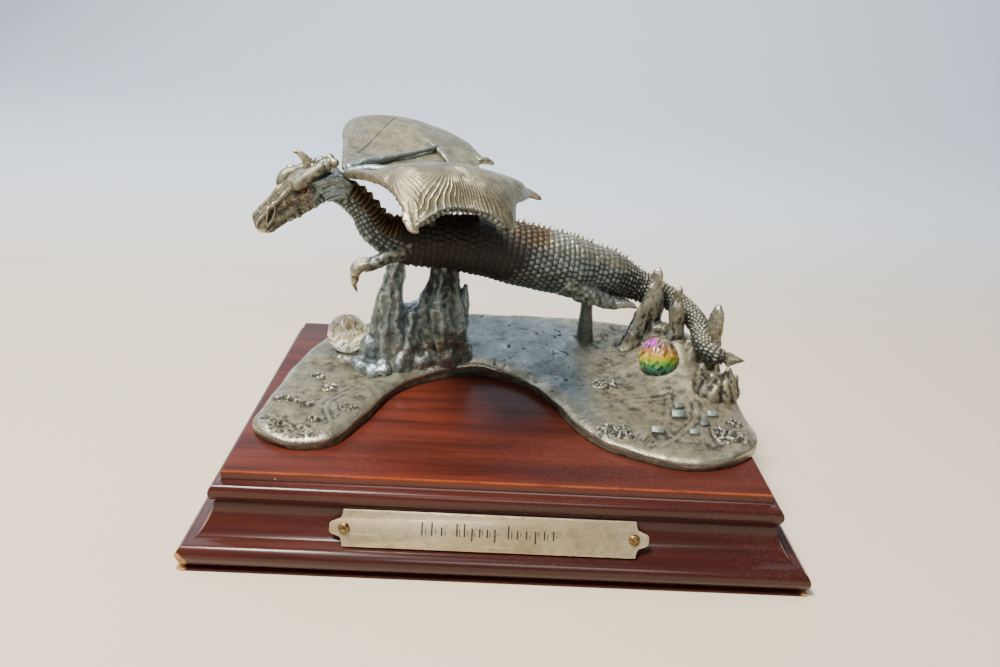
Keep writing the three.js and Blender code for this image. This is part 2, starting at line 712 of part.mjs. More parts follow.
// The plate leans against the cove of the plinth's front, clear of it by the setting gap.
function plateGroup() {
  const lean = Math.atan2(COVE_FOOT.x - COVE_TOP.x, COVE_TOP.y - COVE_FOOT.y);
  const middle = COVE_TOP.clone().add(COVE_FOOT).divideScalar(2);
  const clear = SETTING_GAP + 0.5;
  const group = new THREE.Group();
  group.rotation.x = Math.PI / 2 - lean;
  group.position.set(
    PLATE_OFF_CENTRE,
    -(PLINTH_TOP_DEPTH / 2 + middle.x + Math.cos(lean) * clear + Math.sin(lean) * PLATE_DROP),
    middle.y + Math.sin(lean) * clear - Math.cos(lean) * PLATE_DROP,
  );
  group.add(named('nameplate', toGeometry(nameplate()), material(0xc9b98c, 0.35, 0.9)));
  ['left', 'right'].forEach((word, i) => {
    const pin = named(`nameplate_pin_${word}`, toGeometry(nameplatePin()), material(0x8a6a3a, 0.4, 0.9));
    pin.position.set((i - 0.5) * PIN_SPACING, 0, PLATE_THICKNESS + SETTING_GAP);
    group.add(pin);
  });
  return group;
}

const sculpture = new THREE.Group();
sculpture.add(named('wooden_plinth', toGeometry(woodenPlinth()), material(0x4a1512, 0.25, 0)));
sculpture.add(plateGroup());
sculpture.add(named('dragon_casting', toGeometry(dragonCasting()), material(0x8d8a7c, 0.4, 0.9)));
sculpture.add(stone('clear_crystal', CLEAR_CRYSTAL_CENTRE, CRYSTAL_RADIUS, CRYSTAL_DETAIL, 0xe8e6c8));
sculpture.add(stone('rainbow_crystal', RAINBOW_CRYSTAL_CENTRE, CRYSTAL_RADIUS, CRYSTAL_DETAIL, 0x9bb84a));
sculpture.add(stone('eye_stone_left', eyeCentre(-1), EYE_RADIUS, EYE_DETAIL, 0xa01010));
sculpture.add(stone('eye_stone_right', eyeCentre(1), EYE_RADIUS, EYE_DETAIL, 0xa01010));

export default sculpture;
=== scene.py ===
"""Looks of the cast dragon sculpture: the casting, its plinth, nameplate, crystals and studio."""

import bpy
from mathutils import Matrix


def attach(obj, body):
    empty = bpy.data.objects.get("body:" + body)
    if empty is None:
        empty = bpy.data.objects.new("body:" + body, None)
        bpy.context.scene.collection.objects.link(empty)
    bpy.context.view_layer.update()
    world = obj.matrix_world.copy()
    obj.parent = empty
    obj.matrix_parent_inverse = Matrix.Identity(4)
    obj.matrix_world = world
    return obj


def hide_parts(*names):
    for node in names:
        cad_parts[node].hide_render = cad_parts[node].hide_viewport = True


bl_info = {
    "name": "Dragon Sculpture",
    "version": (1, 0, 0),
    "blender": (4, 5, 0),
    "location": "View3D > Sidebar > Dragon",
    "description": "Builds a cast dragon on a landscape base with a wooden plinth",
    "category": "Object",
}

import itertools
import math

import bpy
import numpy as np
from bpy.props import FloatProperty, FloatVectorProperty, PointerProperty
from mathutils import Matrix, Vector
from mathutils.geometry import delaunay_2d_cdt

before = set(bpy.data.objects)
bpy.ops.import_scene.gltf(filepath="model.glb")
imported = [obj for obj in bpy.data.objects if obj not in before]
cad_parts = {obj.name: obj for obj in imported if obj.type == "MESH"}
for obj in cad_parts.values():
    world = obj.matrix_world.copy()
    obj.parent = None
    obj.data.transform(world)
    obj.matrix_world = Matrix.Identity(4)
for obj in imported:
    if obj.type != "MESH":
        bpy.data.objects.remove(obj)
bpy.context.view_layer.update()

MM = 0.001
TAU = 2 * math.pi
PLINTH_TOP = 29.0
GROUND = 33.6
DRAGON_YAW = math.radians(16)
DRAGON_ORIGIN = np.array((-41.9, 10.7, 0.0))
CLEAR_CENTRE = np.array((-61.4, 20.0, GROUND + 9.2))
RAINBOW_CENTRE = np.array((61.9, 11.0, GROUND + 9.4))


# Curves, noise and frames. All lengths are millimetres until a mesh is written.


def on_dragon(points):
    """Points of the dragon's own frame (x back, y to its right, z up) in the row frame."""
    p = np.asarray(points, float)
    c, s = math.cos(DRAGON_YAW), math.sin(DRAGON_YAW)
    turned = np.stack([p[..., 0] * c - p[..., 1] * s, p[..., 0] * s + p[..., 1] * c, p[..., 2]], -1)
    return turned + DRAGON_ORIGIN


def spline(points, t):
    """Centripetal curve through points at shares t of its spans."""
    p = np.asarray(points, float)
    p = np.concatenate([[2 * p[0] - p[1]], p, [2 * p[-1] - p[-2]]])
    s = np.clip(np.asarray(t, float), 0, 1) * (len(p) - 3)
    k = np.minimum(s.astype(int), len(p) - 4)
    w = (s - k).reshape((-1,) + (1,) * (p.ndim - 1))
    a, b, c, d = p[k], p[k + 1], p[k + 2], p[k + 3]

    def gap(u, v):
        return np.maximum(np.linalg.norm(v - u, axis=-1, keepdims=True), 1e-6) ** 0.5

    h0, h1, h2 = gap(a, b), gap(b, c), gap(c, d)
    t1 = h1 * ((b - a) / h0 - (c - a) / (h0 + h1) + (c - b) / h1)
    t2 = h1 * ((c - b) / h1 - (d - b) / (h1 + h2) + (d - c) / h2)
    return b + w * t1 + w * w * (3 * (c - b) - 2 * t1 - t2) + w**3 * (2 * (b - c) + t1 + t2)


def smooth(low, high, x):
    t = np.clip((np.asarray(x, float) - low) / (high - low), 0, 1)
    return t * t * (3 - 2 * t)


def chance(i, j, k, seed):
    """Repeatable value from -1 to 1 for whole-number places."""
    n = (i * 73856093) ^ (j * 19349663) ^ (k * 83492791) ^ (seed * 2654435)
    n = (n ^ (n >> 13)) * 1274126177
    n = (n ^ (n >> 16)) & 0xFFFF
    return n / 32767.5 - 1


def swing(u, v, angle):
    """Turns the plane of u and v by angle."""
    c, s = math.cos(angle), math.sin(angle)
    return u * c - v * s, u * s + v * c


def noise(points, size, seed=0):
    """Smooth noise from -1 to 1 with features of that size."""
    q = np.asarray(points, float) / size
    base = np.floor(q).astype(np.int64)
    f = q - base
    f = f * f * (3 - 2 * f)
    total = np.zeros(q.shape[:-1])
    for corner in itertools.product((0, 1), repeat=3):
        weight = np.prod(np.where(corner, f, 1 - f), axis=-1)
        at = base + np.array(corner)
        total += weight * chance(at[..., 0], at[..., 1], at[..., 2], seed)
    return total


def ridged(points, size, seed=0):
    """Noise folded into sharp ridges, from 0 to 1."""
    return 1 - np.abs(noise(points, size, seed))


def path_distance(x, y, points):
    """Distance in plan from each place to a line of points."""
    nearest = np.full(np.shape(x), 1e9)
    for (ax, ay), (bx, by) in zip(points[:-1], points[1:]):
        run = (bx - ax) ** 2 + (by - ay) ** 2
        share = np.clip(((x - ax) * (bx - ax) + (y - ay) * (by - ay)) / run, 0, 1)
        nearest = np.minimum(nearest, np.hypot(x - ax - share * (bx - ax), y - ay - share * (by - ay)))
    return nearest


# Mesh making


def begin():
    if bpy.context.object and bpy.context.object.mode != "OBJECT":
        bpy.ops.object.mode_set(mode="OBJECT")
    bpy.ops.object.select_all(action="DESELECT")


def place(obj, points):
    """Writes millimetre points into the mesh of obj."""
    flat = (np.asarray(points, float).reshape(-1, 3) * MM).astype(np.float32)
    if len(flat) != len(obj.data.vertices):
        raise RuntimeError(f"{obj.name}: {len(flat)} points for {len(obj.data.vertices)} vertices")
    obj.data.vertices.foreach_set("co", flat.ravel())
    obj.data.update()


def paint(obj, tone, name="tone"):
    """Stores the finish of each point, with any painted shade and highlights: relief, warm tint and blue
    tint, or the lines of a wing.
    """
    tone = np.asarray(tone, float)
    values = np.ones((len(obj.data.vertices), 4), np.float32)
    values[:, : tone.shape[-1]] = tone.reshape(-1, tone.shape[-1])
    layer = obj.data.attributes.new(name, "FLOAT_COLOR", "POINT")
    layer.data.foreach_set("color", values.ravel())


def tones(shape, relief=0.5, warm=0.0, blue=0.0):
    made = np.zeros(tuple(shape) + (3,))
    made[..., 0] = relief
    made[..., 1] = warm
    made[..., 2] = blue
    return made


def weld(obj):
    focus(obj)
    bpy.ops.object.mode_set(mode="EDIT")
    bpy.ops.mesh.select_all(action="SELECT")
    bpy.ops.mesh.remove_doubles(threshold=2e-6)
    bpy.ops.object.mode_set(mode="OBJECT")


def skin(name, grid, tone, wrap=True, vein=None):
    """Sheet of points, closed round into a tube where wrap is true."""
    if wrap:
        grid = np.concatenate([grid, grid[:, :1]], axis=1)
        tone = np.concatenate([tone, tone[:, :1]], axis=1)
        vein = vein if vein is None else np.concatenate([vein, vein[:, :1]], axis=1)
    rows, columns = grid.shape[:2]
    begin()
    bpy.ops.mesh.primitive_grid_add(x_subdivisions=columns - 1, y_subdivisions=rows - 1, size=1)
    obj = bpy.context.object
    obj.name = name
    place(obj, grid)
    paint(obj, tone)
    if vein is not None:
        paint(obj, vein, "vein")
    if wrap:
        weld(obj)
    return obj


def outward(grid, wrap=True):
    """Unit normals of a sheet of points."""
    if wrap:
        across = np.roll(grid, -1, 1) - np.roll(grid, 1, 1)
    else:
        across = np.gradient(grid, axis=1)
    along = np.gradient(grid, axis=0)
    n = np.cross(across, along)
    return n / np.maximum(np.linalg.norm(n, axis=-1, keepdims=True), 1e-9)


class Tube:
    """Oval limb along stations of x, y, z, half height, half width, with evenly spaced rings."""

    def __init__(self, stations, rings, sides, blunt=1.5):
        data = np.asarray(stations, float)
        fine = np.linspace(0, 1, 1500)
        walk = np.linalg.norm(np.diff(spline(data[:, :3], fine), axis=0), axis=1)
        run = np.concatenate([[0], np.cumsum(walk)])
        self.length = run[-1]
        self.along = np.linspace(0, self.length, rings)
        self.t = np.interp(self.along, run, fine)
        self.centre = spline(data[:, :3], self.t)
        ahead = (
            spline(data[:, :3], np.minimum(self.t + 1e-3, 1))
            - spline(data[:, :3], np.maximum(self.t - 1e-3, 0))
        )
        ahead /= np.linalg.norm(ahead, axis=1, keepdims=True)
        side = np.stack([-ahead[:, 1], ahead[:, 0], np.zeros(rings)], -1)
        length = np.linalg.norm(side, axis=1, keepdims=True)
        side = np.where(length < 1e-3, np.array((1.0, 0, 0)), side / np.maximum(length, 1e-9))
        self.side = side
        self.up = np.cross(ahead, side)
        span = self.t * (len(data) - 1)
        slot = np.minimum(span.astype(int), len(data) - 2)
        share = smooth(0, 1, span - slot)
        self.high = data[slot, 3] * (1 - share) + data[slot + 1, 3] * share
        self.wide = data[slot, 4] * (1 - share) + data[slot + 1, 4] * share
        ends = np.minimum(self.along, self.length - self.along) / blunt
        self.cap = np.sqrt(np.clip(1 - (1 - np.clip(ends, 0, 1)) ** 2, 0, 1))
        self.angle = np.arange(sides) / sides * TAU

    def grid(self, raise_by=0.0):
        """Points of the skin, moved outwards by raise_by."""
        cap = self.cap[:, None, None]
        cos, sin = np.cos(self.angle)[None, :, None], np.sin(self.angle)[None, :, None]
        offset = (
            self.side[:, None] * cos * self.wide[:, None, None]
            + self.up[:, None] * sin * self.high[:, None, None]
        )
        lift = np.broadcast_to(np.asarray(raise_by, float), (len(self.t), len(self.angle)))[..., None]
        reach = np.linalg.norm(offset, axis=-1, keepdims=True)
        return self.centre[:, None] + offset * cap * (1 + lift / np.maximum(reach, 1e-6))


def thorn(name, foot, tip, radius, tone, sides=5, bend=None, flat=1.0):
    """Tapered thorn, curved through a middle point where bend is given."""
    foot, tip = np.asarray(foot, float), np.asarray(tip, float)
    middle = (foot + tip) / 2 if bend is None else np.asarray(bend, float)
    stations = [
        (*foot, radius, radius * flat), (*middle, radius * 0.62, radius * 0.62 * flat),
        (*tip, radius * 0.12, radius * 0.12 * flat)
    ]
    limb = Tube(stations, 8, sides, blunt=0.4)
    shade = tones((8, sides), *tone)
    shade[-3:, :, 0] = np.minimum(shade[-3:, :, 0] + 0.25, 1)
    return skin(name, limb.grid(), shade)


def blob(name, centre, size, tone, seed, detail=2, rough=0.22):
    """Crinkled pebble, bush or lump."""
    begin()
    bpy.ops.mesh.primitive_ico_sphere_add(subdivisions=detail, radius=1)
    obj = bpy.context.object
    obj.name = name
    co = corners(obj)
    bump = noise(co + seed * 3.7, 0.55, seed)
    grown = co * (1 + rough * bump[:, None]) * np.asarray(size, float)
    place(obj, grown + np.asarray(centre, float))
    shade = tones((len(co),), *tone)
    # Bumps are lighter; the upper half is painted lighter and the lower half darker, painted light from
    # above.
    shade[:, 0] = np.clip(tone[0] + 0.22 * bump + 0.12 * co[:, 2], 0, 1)
    paint(obj, shade)
    return obj


def gather(name, pieces):
    """Joins the listed shells into one object."""
    begin()
    for piece in pieces:
        piece.select_set(True)
    bpy.context.view_layer.objects.active = pieces[0]
    bpy.ops.object.join()
    obj = bpy.context.object
    obj.name = name
    return obj


def join(name, pieces, material):
    """Makes one piece of the listed shells, in that material."""
    obj = gather(name, pieces)
    obj.data.name = name
    obj.data.materials.clear()
    obj.data.materials.append(material)
    bpy.ops.object.shade_smooth()
    return obj


def settle(obj, node):
    """Hands a finished piece over to the frame."""
    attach(obj, "root")
    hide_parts(node)


def corners(obj):
    """Vertices of obj as an array, in the unit of its mesh."""
    return np.array([v.co for v in obj.data.vertices])


def focus(obj):
    """Selects obj alone and makes it active."""
    begin()
    obj.select_set(True)
    bpy.context.view_layer.objects.active = obj


def apply_modifier(obj, modifier):
    focus(obj)
    bpy.ops.object.modifier_apply(modifier=modifier.name)


def bevel(obj, width, segments=2, angle=30):
    """Rounds the edges of obj that are sharper than angle."""
    soft = obj.modifiers.new("edge", "BEVEL")
    soft.width = width * MM
    soft.segments = segments
    soft.limit_method = "ANGLE"
    soft.angle_limit = math.radians(angle)
    apply_modifier(obj, soft)


def face_out(obj):
    """Turns all faces of obj outwards."""
    focus(obj)
    bpy.ops.object.mode_set(mode="EDIT")
    bpy.ops.mesh.select_all(action="SELECT")
    bpy.ops.mesh.normals_make_consistent(inside=False)
    bpy.ops.object.mode_set(mode="OBJECT")


def read_points(obj):
    """Points and normals of obj, in millimetres."""
    count = len(obj.data.vertices)
    co, normal = np.empty(count * 3), np.empty(count * 3)
    obj.data.vertices.foreach_get("co", co)
    obj.data.vertices.foreach_get("normal", normal)
    return co.reshape(-1, 3) / MM, normal.reshape(-1, 3)


def read_tone(obj):
    values = np.empty(len(obj.data.vertices) * 4, np.float32)
    obj.data.attributes["tone"].data.foreach_get("color", values)
    return values.reshape(-1, 4)


def write_tone(obj, values):
    obj.data.attributes["tone"].data.foreach_set("color", np.clip(values, 0, 1).astype(np.float32).ravel())


def rub(obj, fine_gain, broad_gain):
    """Darkens the hollows and brightens the high points of a casting from the bend of its surface."""
    co, normal = read_points(obj)
    count = len(co)
    ends = np.empty(len(obj.data.edges) * 2, np.int64)
    obj.data.edges.foreach_get("vertices", ends)
    a, b = ends.reshape(-1, 2).T
    degree = np.maximum(np.bincount(a, minlength=count) + np.bincount(b, minlength=count), 1)

    def spread(values):
        total = [np.bincount(a, v[b], count) + np.bincount(b, v[a], count) for v in values.T]
        return np.stack(total, -1) / degree[:, None]

    soft = co
    for step in range(16):
        soft = (soft + spread(soft)) / 2
        if step == 3:
            fine = ((co - soft) * normal).sum(1)
    broad = ((co - soft) * normal).sum(1)
    values = read_tone(obj)
    values[:, 0] += fine_gain * np.tanh(fine / 0.10) + broad_gain * np.tanh(broad / 0.35)
    write_tone(obj, values)


def melt(name, pieces, voxel, rounds):
    """Flows several closed shells into one skin, without their tones."""
    obj = gather(name, pieces)
    flow = obj.modifiers.new("flow", "REMESH")
    flow.mode = "VOXEL"
    flow.voxel_size = voxel * MM
    apply_modifier(obj, flow)
    soften = obj.modifiers.new("soften", "SMOOTH")
    soften.factor = 0.5
    soften.iterations = rounds
    apply_modifier(obj, soften)
    if "tone" in obj.data.attributes:
        obj.data.attributes.remove(obj.data.attributes["tone"])
    return obj


# Shader building


class Nodes:
    """Short way to add and wire shader nodes."""

    def __init__(self, tree):
        self.tree = tree

    def add(self, kind, **settings):
        node = self.tree.nodes.new(kind)
        for key, value in settings.items():
            if key.startswith("in_"):
                socket = key[3:].replace("_", " ")
                node.inputs[socket].default_value = value
            else:
                setattr(node, key, value)
        return node

    def link(self, source, target):
        self.tree.links.new(source, target)

    def ramp(self, value, stops):
        node = self.add("ShaderNodeValToRGB")
        elements = node.color_ramp.elements
        while len(elements) < len(stops):
            elements.new(0.5)
        for element, (at, color) in zip(elements, stops):
            element.position = at
            element.color = color if len(color) == 4 else (*color, 1)
        self.link(value, node.inputs["Fac"])
        return node.outputs["Color"]

    def mix(self, factor, a, b):
        node = self.add("ShaderNodeMix", data_type="RGBA")
        for socket, value in ((node.inputs[0], factor), (node.inputs[6], a), (node.inputs[7], b)):
            if hasattr(value, "is_linked"):
                self.link(value, socket)
            else:
                socket.default_value = value if isinstance(value, (int, float)) else (*value[:3], 1)
        return node.outputs[2]

    def math(self, operation, a, b=None, clamp=False):
        node = self.add("ShaderNodeMath", operation=operation, use_clamp=clamp)
        for socket, value in zip(node.inputs, (a, b)):
            if value is None:
                continue
            if hasattr(value, "is_linked"):
                self.link(value, socket)
            else:
                socket.default_value = value
        return node.outputs[0]

    def span(self, value, low, high, to_low=0.0, to_high=1.0):
        node = self.add("ShaderNodeMapRange", interpolation_type="SMOOTHSTEP")
        self.link(value, node.inputs["Value"])
        for key, number in (("From Min", low), ("From Max", high), ("To Min", to_low), ("To Max", to_high)):
            node.inputs[key].default_value = number
        return node.outputs["Result"]

    def noise(self, vector, scale, detail=3.0, rough=0.55, stretch=None):
        if stretch:
            turn = self.add("ShaderNodeMapping")
            turn.inputs["Scale"].default_value = stretch
            self.link(vector, turn.inputs["Vector"])
            vector = turn.outputs["Vector"]
        node = self.add("ShaderNodeTexNoise", in_Scale=scale, in_Detail=detail, in_Roughness=rough)
        self.link(vector, node.inputs["Vector"])
        return node.outputs["Fac"]


def speck_group():
    """Shared effect: grime patches and fine specks over a surface."""
    name = "age_specks"
    if name in bpy.data.node_groups:
        return bpy.data.node_groups[name]
    tree = bpy.data.node_groups.new(name, "ShaderNodeTree")
    face = tree.interface
    face.new_socket("Vector", in_out="INPUT", socket_type="NodeSocketVector")
    size = face.new_socket("Speck scale", in_out="INPUT", socket_type="NodeSocketFloat")
    size.default_value = 1500
    face.new_socket("Patches", in_out="OUTPUT", socket_type="NodeSocketFloat")
    face.new_socket("Specks", in_out="OUTPUT", socket_type="NodeSocketFloat")
    n = Nodes(tree)
    entry = n.add("NodeGroupInput")
    leave = n.add("NodeGroupOutput")
    patches = n.noise(entry.outputs["Vector"], 90, 4)
    n.link(n.span(patches, 0.35, 0.7), leave.inputs["Patches"])
    dots = n.add("ShaderNodeTexVoronoi", feature="F1")
    n.link(entry.outputs["Vector"], dots.inputs["Vector"])
    n.link(entry.outputs["Speck scale"], dots.inputs["Scale"])
    n.link(n.span(dots.outputs["Distance"], 0.12, 0.3, 1.0, 0.0), leave.inputs["Specks"])
    return tree


def start_material(name):
    material = bpy.data.materials.new(name)
    material.use_nodes = True
    tree = material.node_tree
    tree.nodes.clear()
    n = Nodes(tree)
    shader = n.add("ShaderNodeBsdfPrincipled")
    out = n.add("ShaderNodeOutputMaterial")
    n.link(shader.outputs["BSDF"], out.inputs["Surface"])
    where = n.add("ShaderNodeTexCoord").outputs["Object"]
    return material, n, shader, where


def bump(n, shader, height, strength, distance):
    node = n.add("ShaderNodeBump")
    node.inputs["Strength"].default_value = strength
    node.inputs["Distance"].default_value = distance
    n.link(height, node.inputs["Height"])
    n.link(node.outputs["Normal"], shader.inputs["Normal"])


def vein_lines(n, where):
    """Fine wavering lines of the wing skin, from the two fans kept in the vein attribute."""
    vein = n.add("ShaderNodeAttribute", attribute_name="vein")
    parts = n.add("ShaderNodeSeparateColor")
    n.link(vein.outputs["Color"], parts.inputs["Color"])
    rear, lead, strength = parts.outputs
    lines = []
    for phase in (rear, lead):
        lines.append(n.span(n.math("PINGPONG", phase, 0.5), 0.0, 0.26, 1.0, -0.30))
    step = n.math("SUBTRACT", lines[1], lines[0])
    both = n.math("ADD", lines[0], n.math("MULTIPLY", vein.outputs["Alpha"], step))
    broken = n.span(n.noise(where, 200, 3, 0.6), 0.36, 0.56, 0.35, 1.0)
    return n.math("MULTIPLY", n.math("MULTIPLY", both, broken), strength)


def pewter_material(colours):
    """Antiqued pewter: worn bright on high points, dark patina in the hollows, warm and blue tints; the same
    colours also show the painted shade and highlights kept in the tone attribute.
    """
    if "antique_pewter" in bpy.data.materials:
        return bpy.data.materials["antique_pewter"]
    material, n, shader, where = start_material("antique_pewter")
    tone = n.add("ShaderNodeAttribute", attribute_name="tone")
    parts = n.add("ShaderNodeSeparateColor")
    n.link(tone.outputs["Color"], parts.inputs["Color"])
    relief, warm, blue = parts.outputs
    age = n.add("ShaderNodeGroup", node_tree=speck_group())
    n.link(where, age.inputs["Vector"])
    age.inputs["Speck scale"].default_value = 900
    broad = n.noise(where, 210, 5, 0.62)
    fine = n.noise(where, 1500, 5, 0.7)
    cloud = n.noise(where, 75, 4, 0.6)
    tan = n.mix(n.span(broad, 0.36, 0.64), tuple(colours.pewter_olive), tuple(colours.pewter_tan))
    cool = n.math("ADD", blue, n.span(cloud, 0.52, 0.72, 0.0, 0.25), clamp=True)
    tinted = n.mix(
        n.math("MULTIPLY", cool, n.span(broad, 0.15, 0.6, 0.75, 1.0)), tan, tuple(colours.pewter_blue)
    )
    stain = n.span(n.noise(where, 120, 4, 0.65), 0.56, 0.76, 0.0, 0.2)
    rust = n.math("ADD", warm, n.math("MULTIPLY", stain, n.math("SUBTRACT", 1.0, blue)), clamp=True)
    tinted = n.mix(rust, tinted, tuple(colours.pewter_brown))
    dirt = n.span(n.noise(where, 330, 6, 0.72), 0.44, 0.66, 0.0, 0.5)
    tinted = n.mix(dirt, tinted, tuple(colours.dirt))
    grain = n.math("MULTIPLY", n.math("SUBTRACT", fine, 0.5), 0.75)
    shaken = n.math(
        "ADD", relief, n.math("ADD", grain, n.math("MULTIPLY", n.math("SUBTRACT", broad, 0.5), 0.26))
    )
    vein = vein_lines(n, where)
    shaken = n.math("ADD", shaken, n.math("MULTIPLY", vein, 0.15))
    hollow = n.span(shaken, 0.12, 0.52, 1.0, 0.0)
    dark = n.mix(n.math("MULTIPLY", hollow, 0.94), tinted, tuple(colours.patina))
    polish = n.mix(cool, tuple(colours.pewter_worn), tuple(colours.worn_blue))
    worn = n.mix(n.span(shaken, 0.60, 0.95, 0.0, 0.75), dark, polish)
    specked = n.mix(n.math("MULTIPLY", age.outputs["Patches"], 0.10), worn, tuple(colours.patina))
    n.link(specked, shader.inputs["Base Color"])
    n.link(n.span(shaken, 0.15, 0.85, 0.55, 0.27), shader.inputs["Roughness"])
    n.link(n.span(shaken, 0.1, 0.8, 0.30, 0.85), shader.inputs["Metallic"])
    height = n.math("ADD", n.math("ADD", fine, n.math("MULTIPLY", broad, 0.7)), n.math("MULTIPLY", vein, 0.6))
    bump(n, shader, height, 0.55, 0.0004)
    return material


def mahogany_material(colours):
    """Lacquered mahogany: dark streaks along the board, thin lacquer on the arris, bare chips, dust."""
    material, n, shader, where = start_material("lacquered_mahogany")
    split = n.add("ShaderNodeSeparateXYZ")
    n.link(where, split.inputs["Vector"])
    _, y, z = split.outputs
    streak = n.noise(where, 26, 6, 0.6, (0.35, 4.5, 4.5))
    pores = n.noise(where, 240, 3, 0.6, (0.12, 6.0, 6.0))
    bands = n.noise(where, 9, 3, 0.5, (0.5, 2.6, 2.6))
    wood = n.mix(n.span(streak, 0.34, 0.66), tuple(colours.wood_dark), tuple(colours.wood_red))
    wood = n.mix(n.span(bands, 0.35, 0.7, 0.0, 0.6), wood, tuple(colours.wood_dark))
    wood = n.mix(n.span(pores, 0.58, 0.72, 0.0, 0.7), wood, tuple(colours.wood_pore))
    side = n.span(z, 0.0258, 0.0284, 0.55, 0.0)
    wood = n.mix(side, wood, tuple(colours.wood_side))
    arris = n.math("MULTIPLY", n.span(z, 0.0283, 0.0290), n.span(y, -0.0612, -0.0624))
    rub = n.math("MULTIPLY", arris, n.span(n.noise(where, 120, 3), 0.3, 0.6, 0.35, 1.0))
    wood = n.mix(rub, wood, tuple(colours.wood_edge))
    bare = chip_mask(n, where)
    wood = n.mix(bare, wood, tuple(colours.wood_bare))
    age = n.add("ShaderNodeGroup", node_tree=speck_group())
    n.link(where, age.inputs["Vector"])
    age.inputs["Speck scale"].default_value = 430
    dust = n.math(
        "MULTIPLY", n.span(age.outputs["Specks"], 0.9, 1.0), n.span(n.noise(where, 70, 2), 0.70, 0.74)
    )
    haze = n.math(
        "MULTIPLY", n.span(n.noise(where, 1400, 2), 0.45, 0.8), n.span(n.noise(where, 14, 4), 0.38, 0.7)
    )
    wood = n.mix(n.math("MULTIPLY", haze, 0.10), wood, (0.30, 0.20, 0.17))
    wood = n.mix(n.math("MULTIPLY", dust, 0.6), wood, (0.8, 0.74, 0.66))
    n.link(wood, shader.inputs["Base Color"])
    rough = n.math("ADD", n.span(haze, 0, 1, 0.30, 0.52), n.math("MULTIPLY", bare, 0.3), clamp=True)
    n.link(rough, shader.inputs["Roughness"])
    lacquer = n.span(z, 0.0280, 0.0288, 0.5, 0.0)
    n.link(
        n.math("SUBTRACT", lacquer, n.math("MULTIPLY", bare, 0.4), clamp=True), shader.inputs["Coat Weight"]
    )
    shader.inputs["Coat Roughness"].default_value = 0.2
    shader.inputs["Specular IOR Level"].default_value = 0.09
    bump(n, shader, n.math("ADD", streak, n.math("MULTIPLY", pores, 0.4)), 0.06, 0.0006)
    return material


def chip_mask(n, where):
    """Where the lacquer is gone: the two front corners of the foot."""
    total = None
    for corner, reach in (((-0.0998, -0.0748, 0.0026), 0.0042), ((0.0996, -0.0746, 0.0006), 0.0022)):
        away = n.add("ShaderNodeVectorMath", operation="DISTANCE")
        n.link(where, away.inputs[0])
        away.inputs[1].default_value = corner
        ragged = n.math("ADD", away.outputs["Value"], n.math("MULTIPLY", n.noise(where, 600, 3), 0.0022))
        mask = n.span(ragged, reach, reach + 0.0009, 1.0, 0.0)
        total = mask if total is None else n.math("MAXIMUM", total, mask)
    return total


def plate_material(colours):
    """Pale brass sheet: brushed along its length, speckled brown with age."""
    material, n, shader, where = start_material("aged_plate_brass")
    brushed = n.noise(where, 420, 3, 0.6, (0.06, 3.0, 3.0))
    mottle = n.noise(where, 330, 5, 0.75)
    broad = n.noise(where, 55, 3)
    age = n.add("ShaderNodeGroup", node_tree=speck_group())
    n.link(where, age.inputs["Vector"])
    age.inputs["Speck scale"].default_value = 1100
    color = n.mix(n.span(broad, 0.3, 0.7), tuple(colours.plate_pale), tuple(colours.plate_gold))
    color = n.mix(n.span(mottle, 0.5, 0.68, 0.0, 0.55), color, tuple(colours.plate_brown))
    color = n.mix(n.math("MULTIPLY", age.outputs["Specks"], 0.35), color, tuple(colours.plate_brown))
    scratch = n.noise(where, 130, 2, 0.5, (0.5, 14.0, 14.0))
    color = n.mix(n.span(scratch, 0.66, 0.72, 0.0, 0.5), color, (0.86, 0.82, 0.70))
    n.link(color, shader.inputs["Base Color"])
    shader.inputs["Metallic"].default_value = 0.8
    n.link(n.span(mottle, 0.35, 0.7, 0.33, 0.58), shader.inputs["Roughness"])
    bump(n, shader, n.math("ADD", brushed, mottle), 0.10, 0.0002)
    return material


def stroke_material(colours):
    """Dull black filling of the plate's strokes."""
    material, n, shader, where = start_material("stroke_black")
    worn = n.noise(where, 2400, 3)
    n.link(
        n.mix(n.span(worn, 0.55, 0.8), tuple(colours.stroke), (0.05, 0.045, 0.04)),
        shader.inputs["Base Color"]
    )
    n.link(n.span(worn, 0.3, 0.8, 0.5, 0.75), shader.inputs["Roughness"])
    return material


def pin_material(colours):
    """Dark antique brass, rubbed bright on the dome."""
    material, n, shader, where = start_material("antique_pin_brass")
    grime = n.noise(where, 900, 4, 0.6)
    color = n.mix(n.span(grime, 0.35, 0.65), tuple(colours.pin_dark), tuple(colours.pin_bright))
    n.link(color, shader.inputs["Base Color"])
    shader.inputs["Metallic"].default_value = 0.9
    n.link(n.span(grime, 0.3, 0.7, 0.28, 0.5), shader.inputs["Roughness"])
    bump(n, shader, grime, 0.15, 0.0002)
    return material


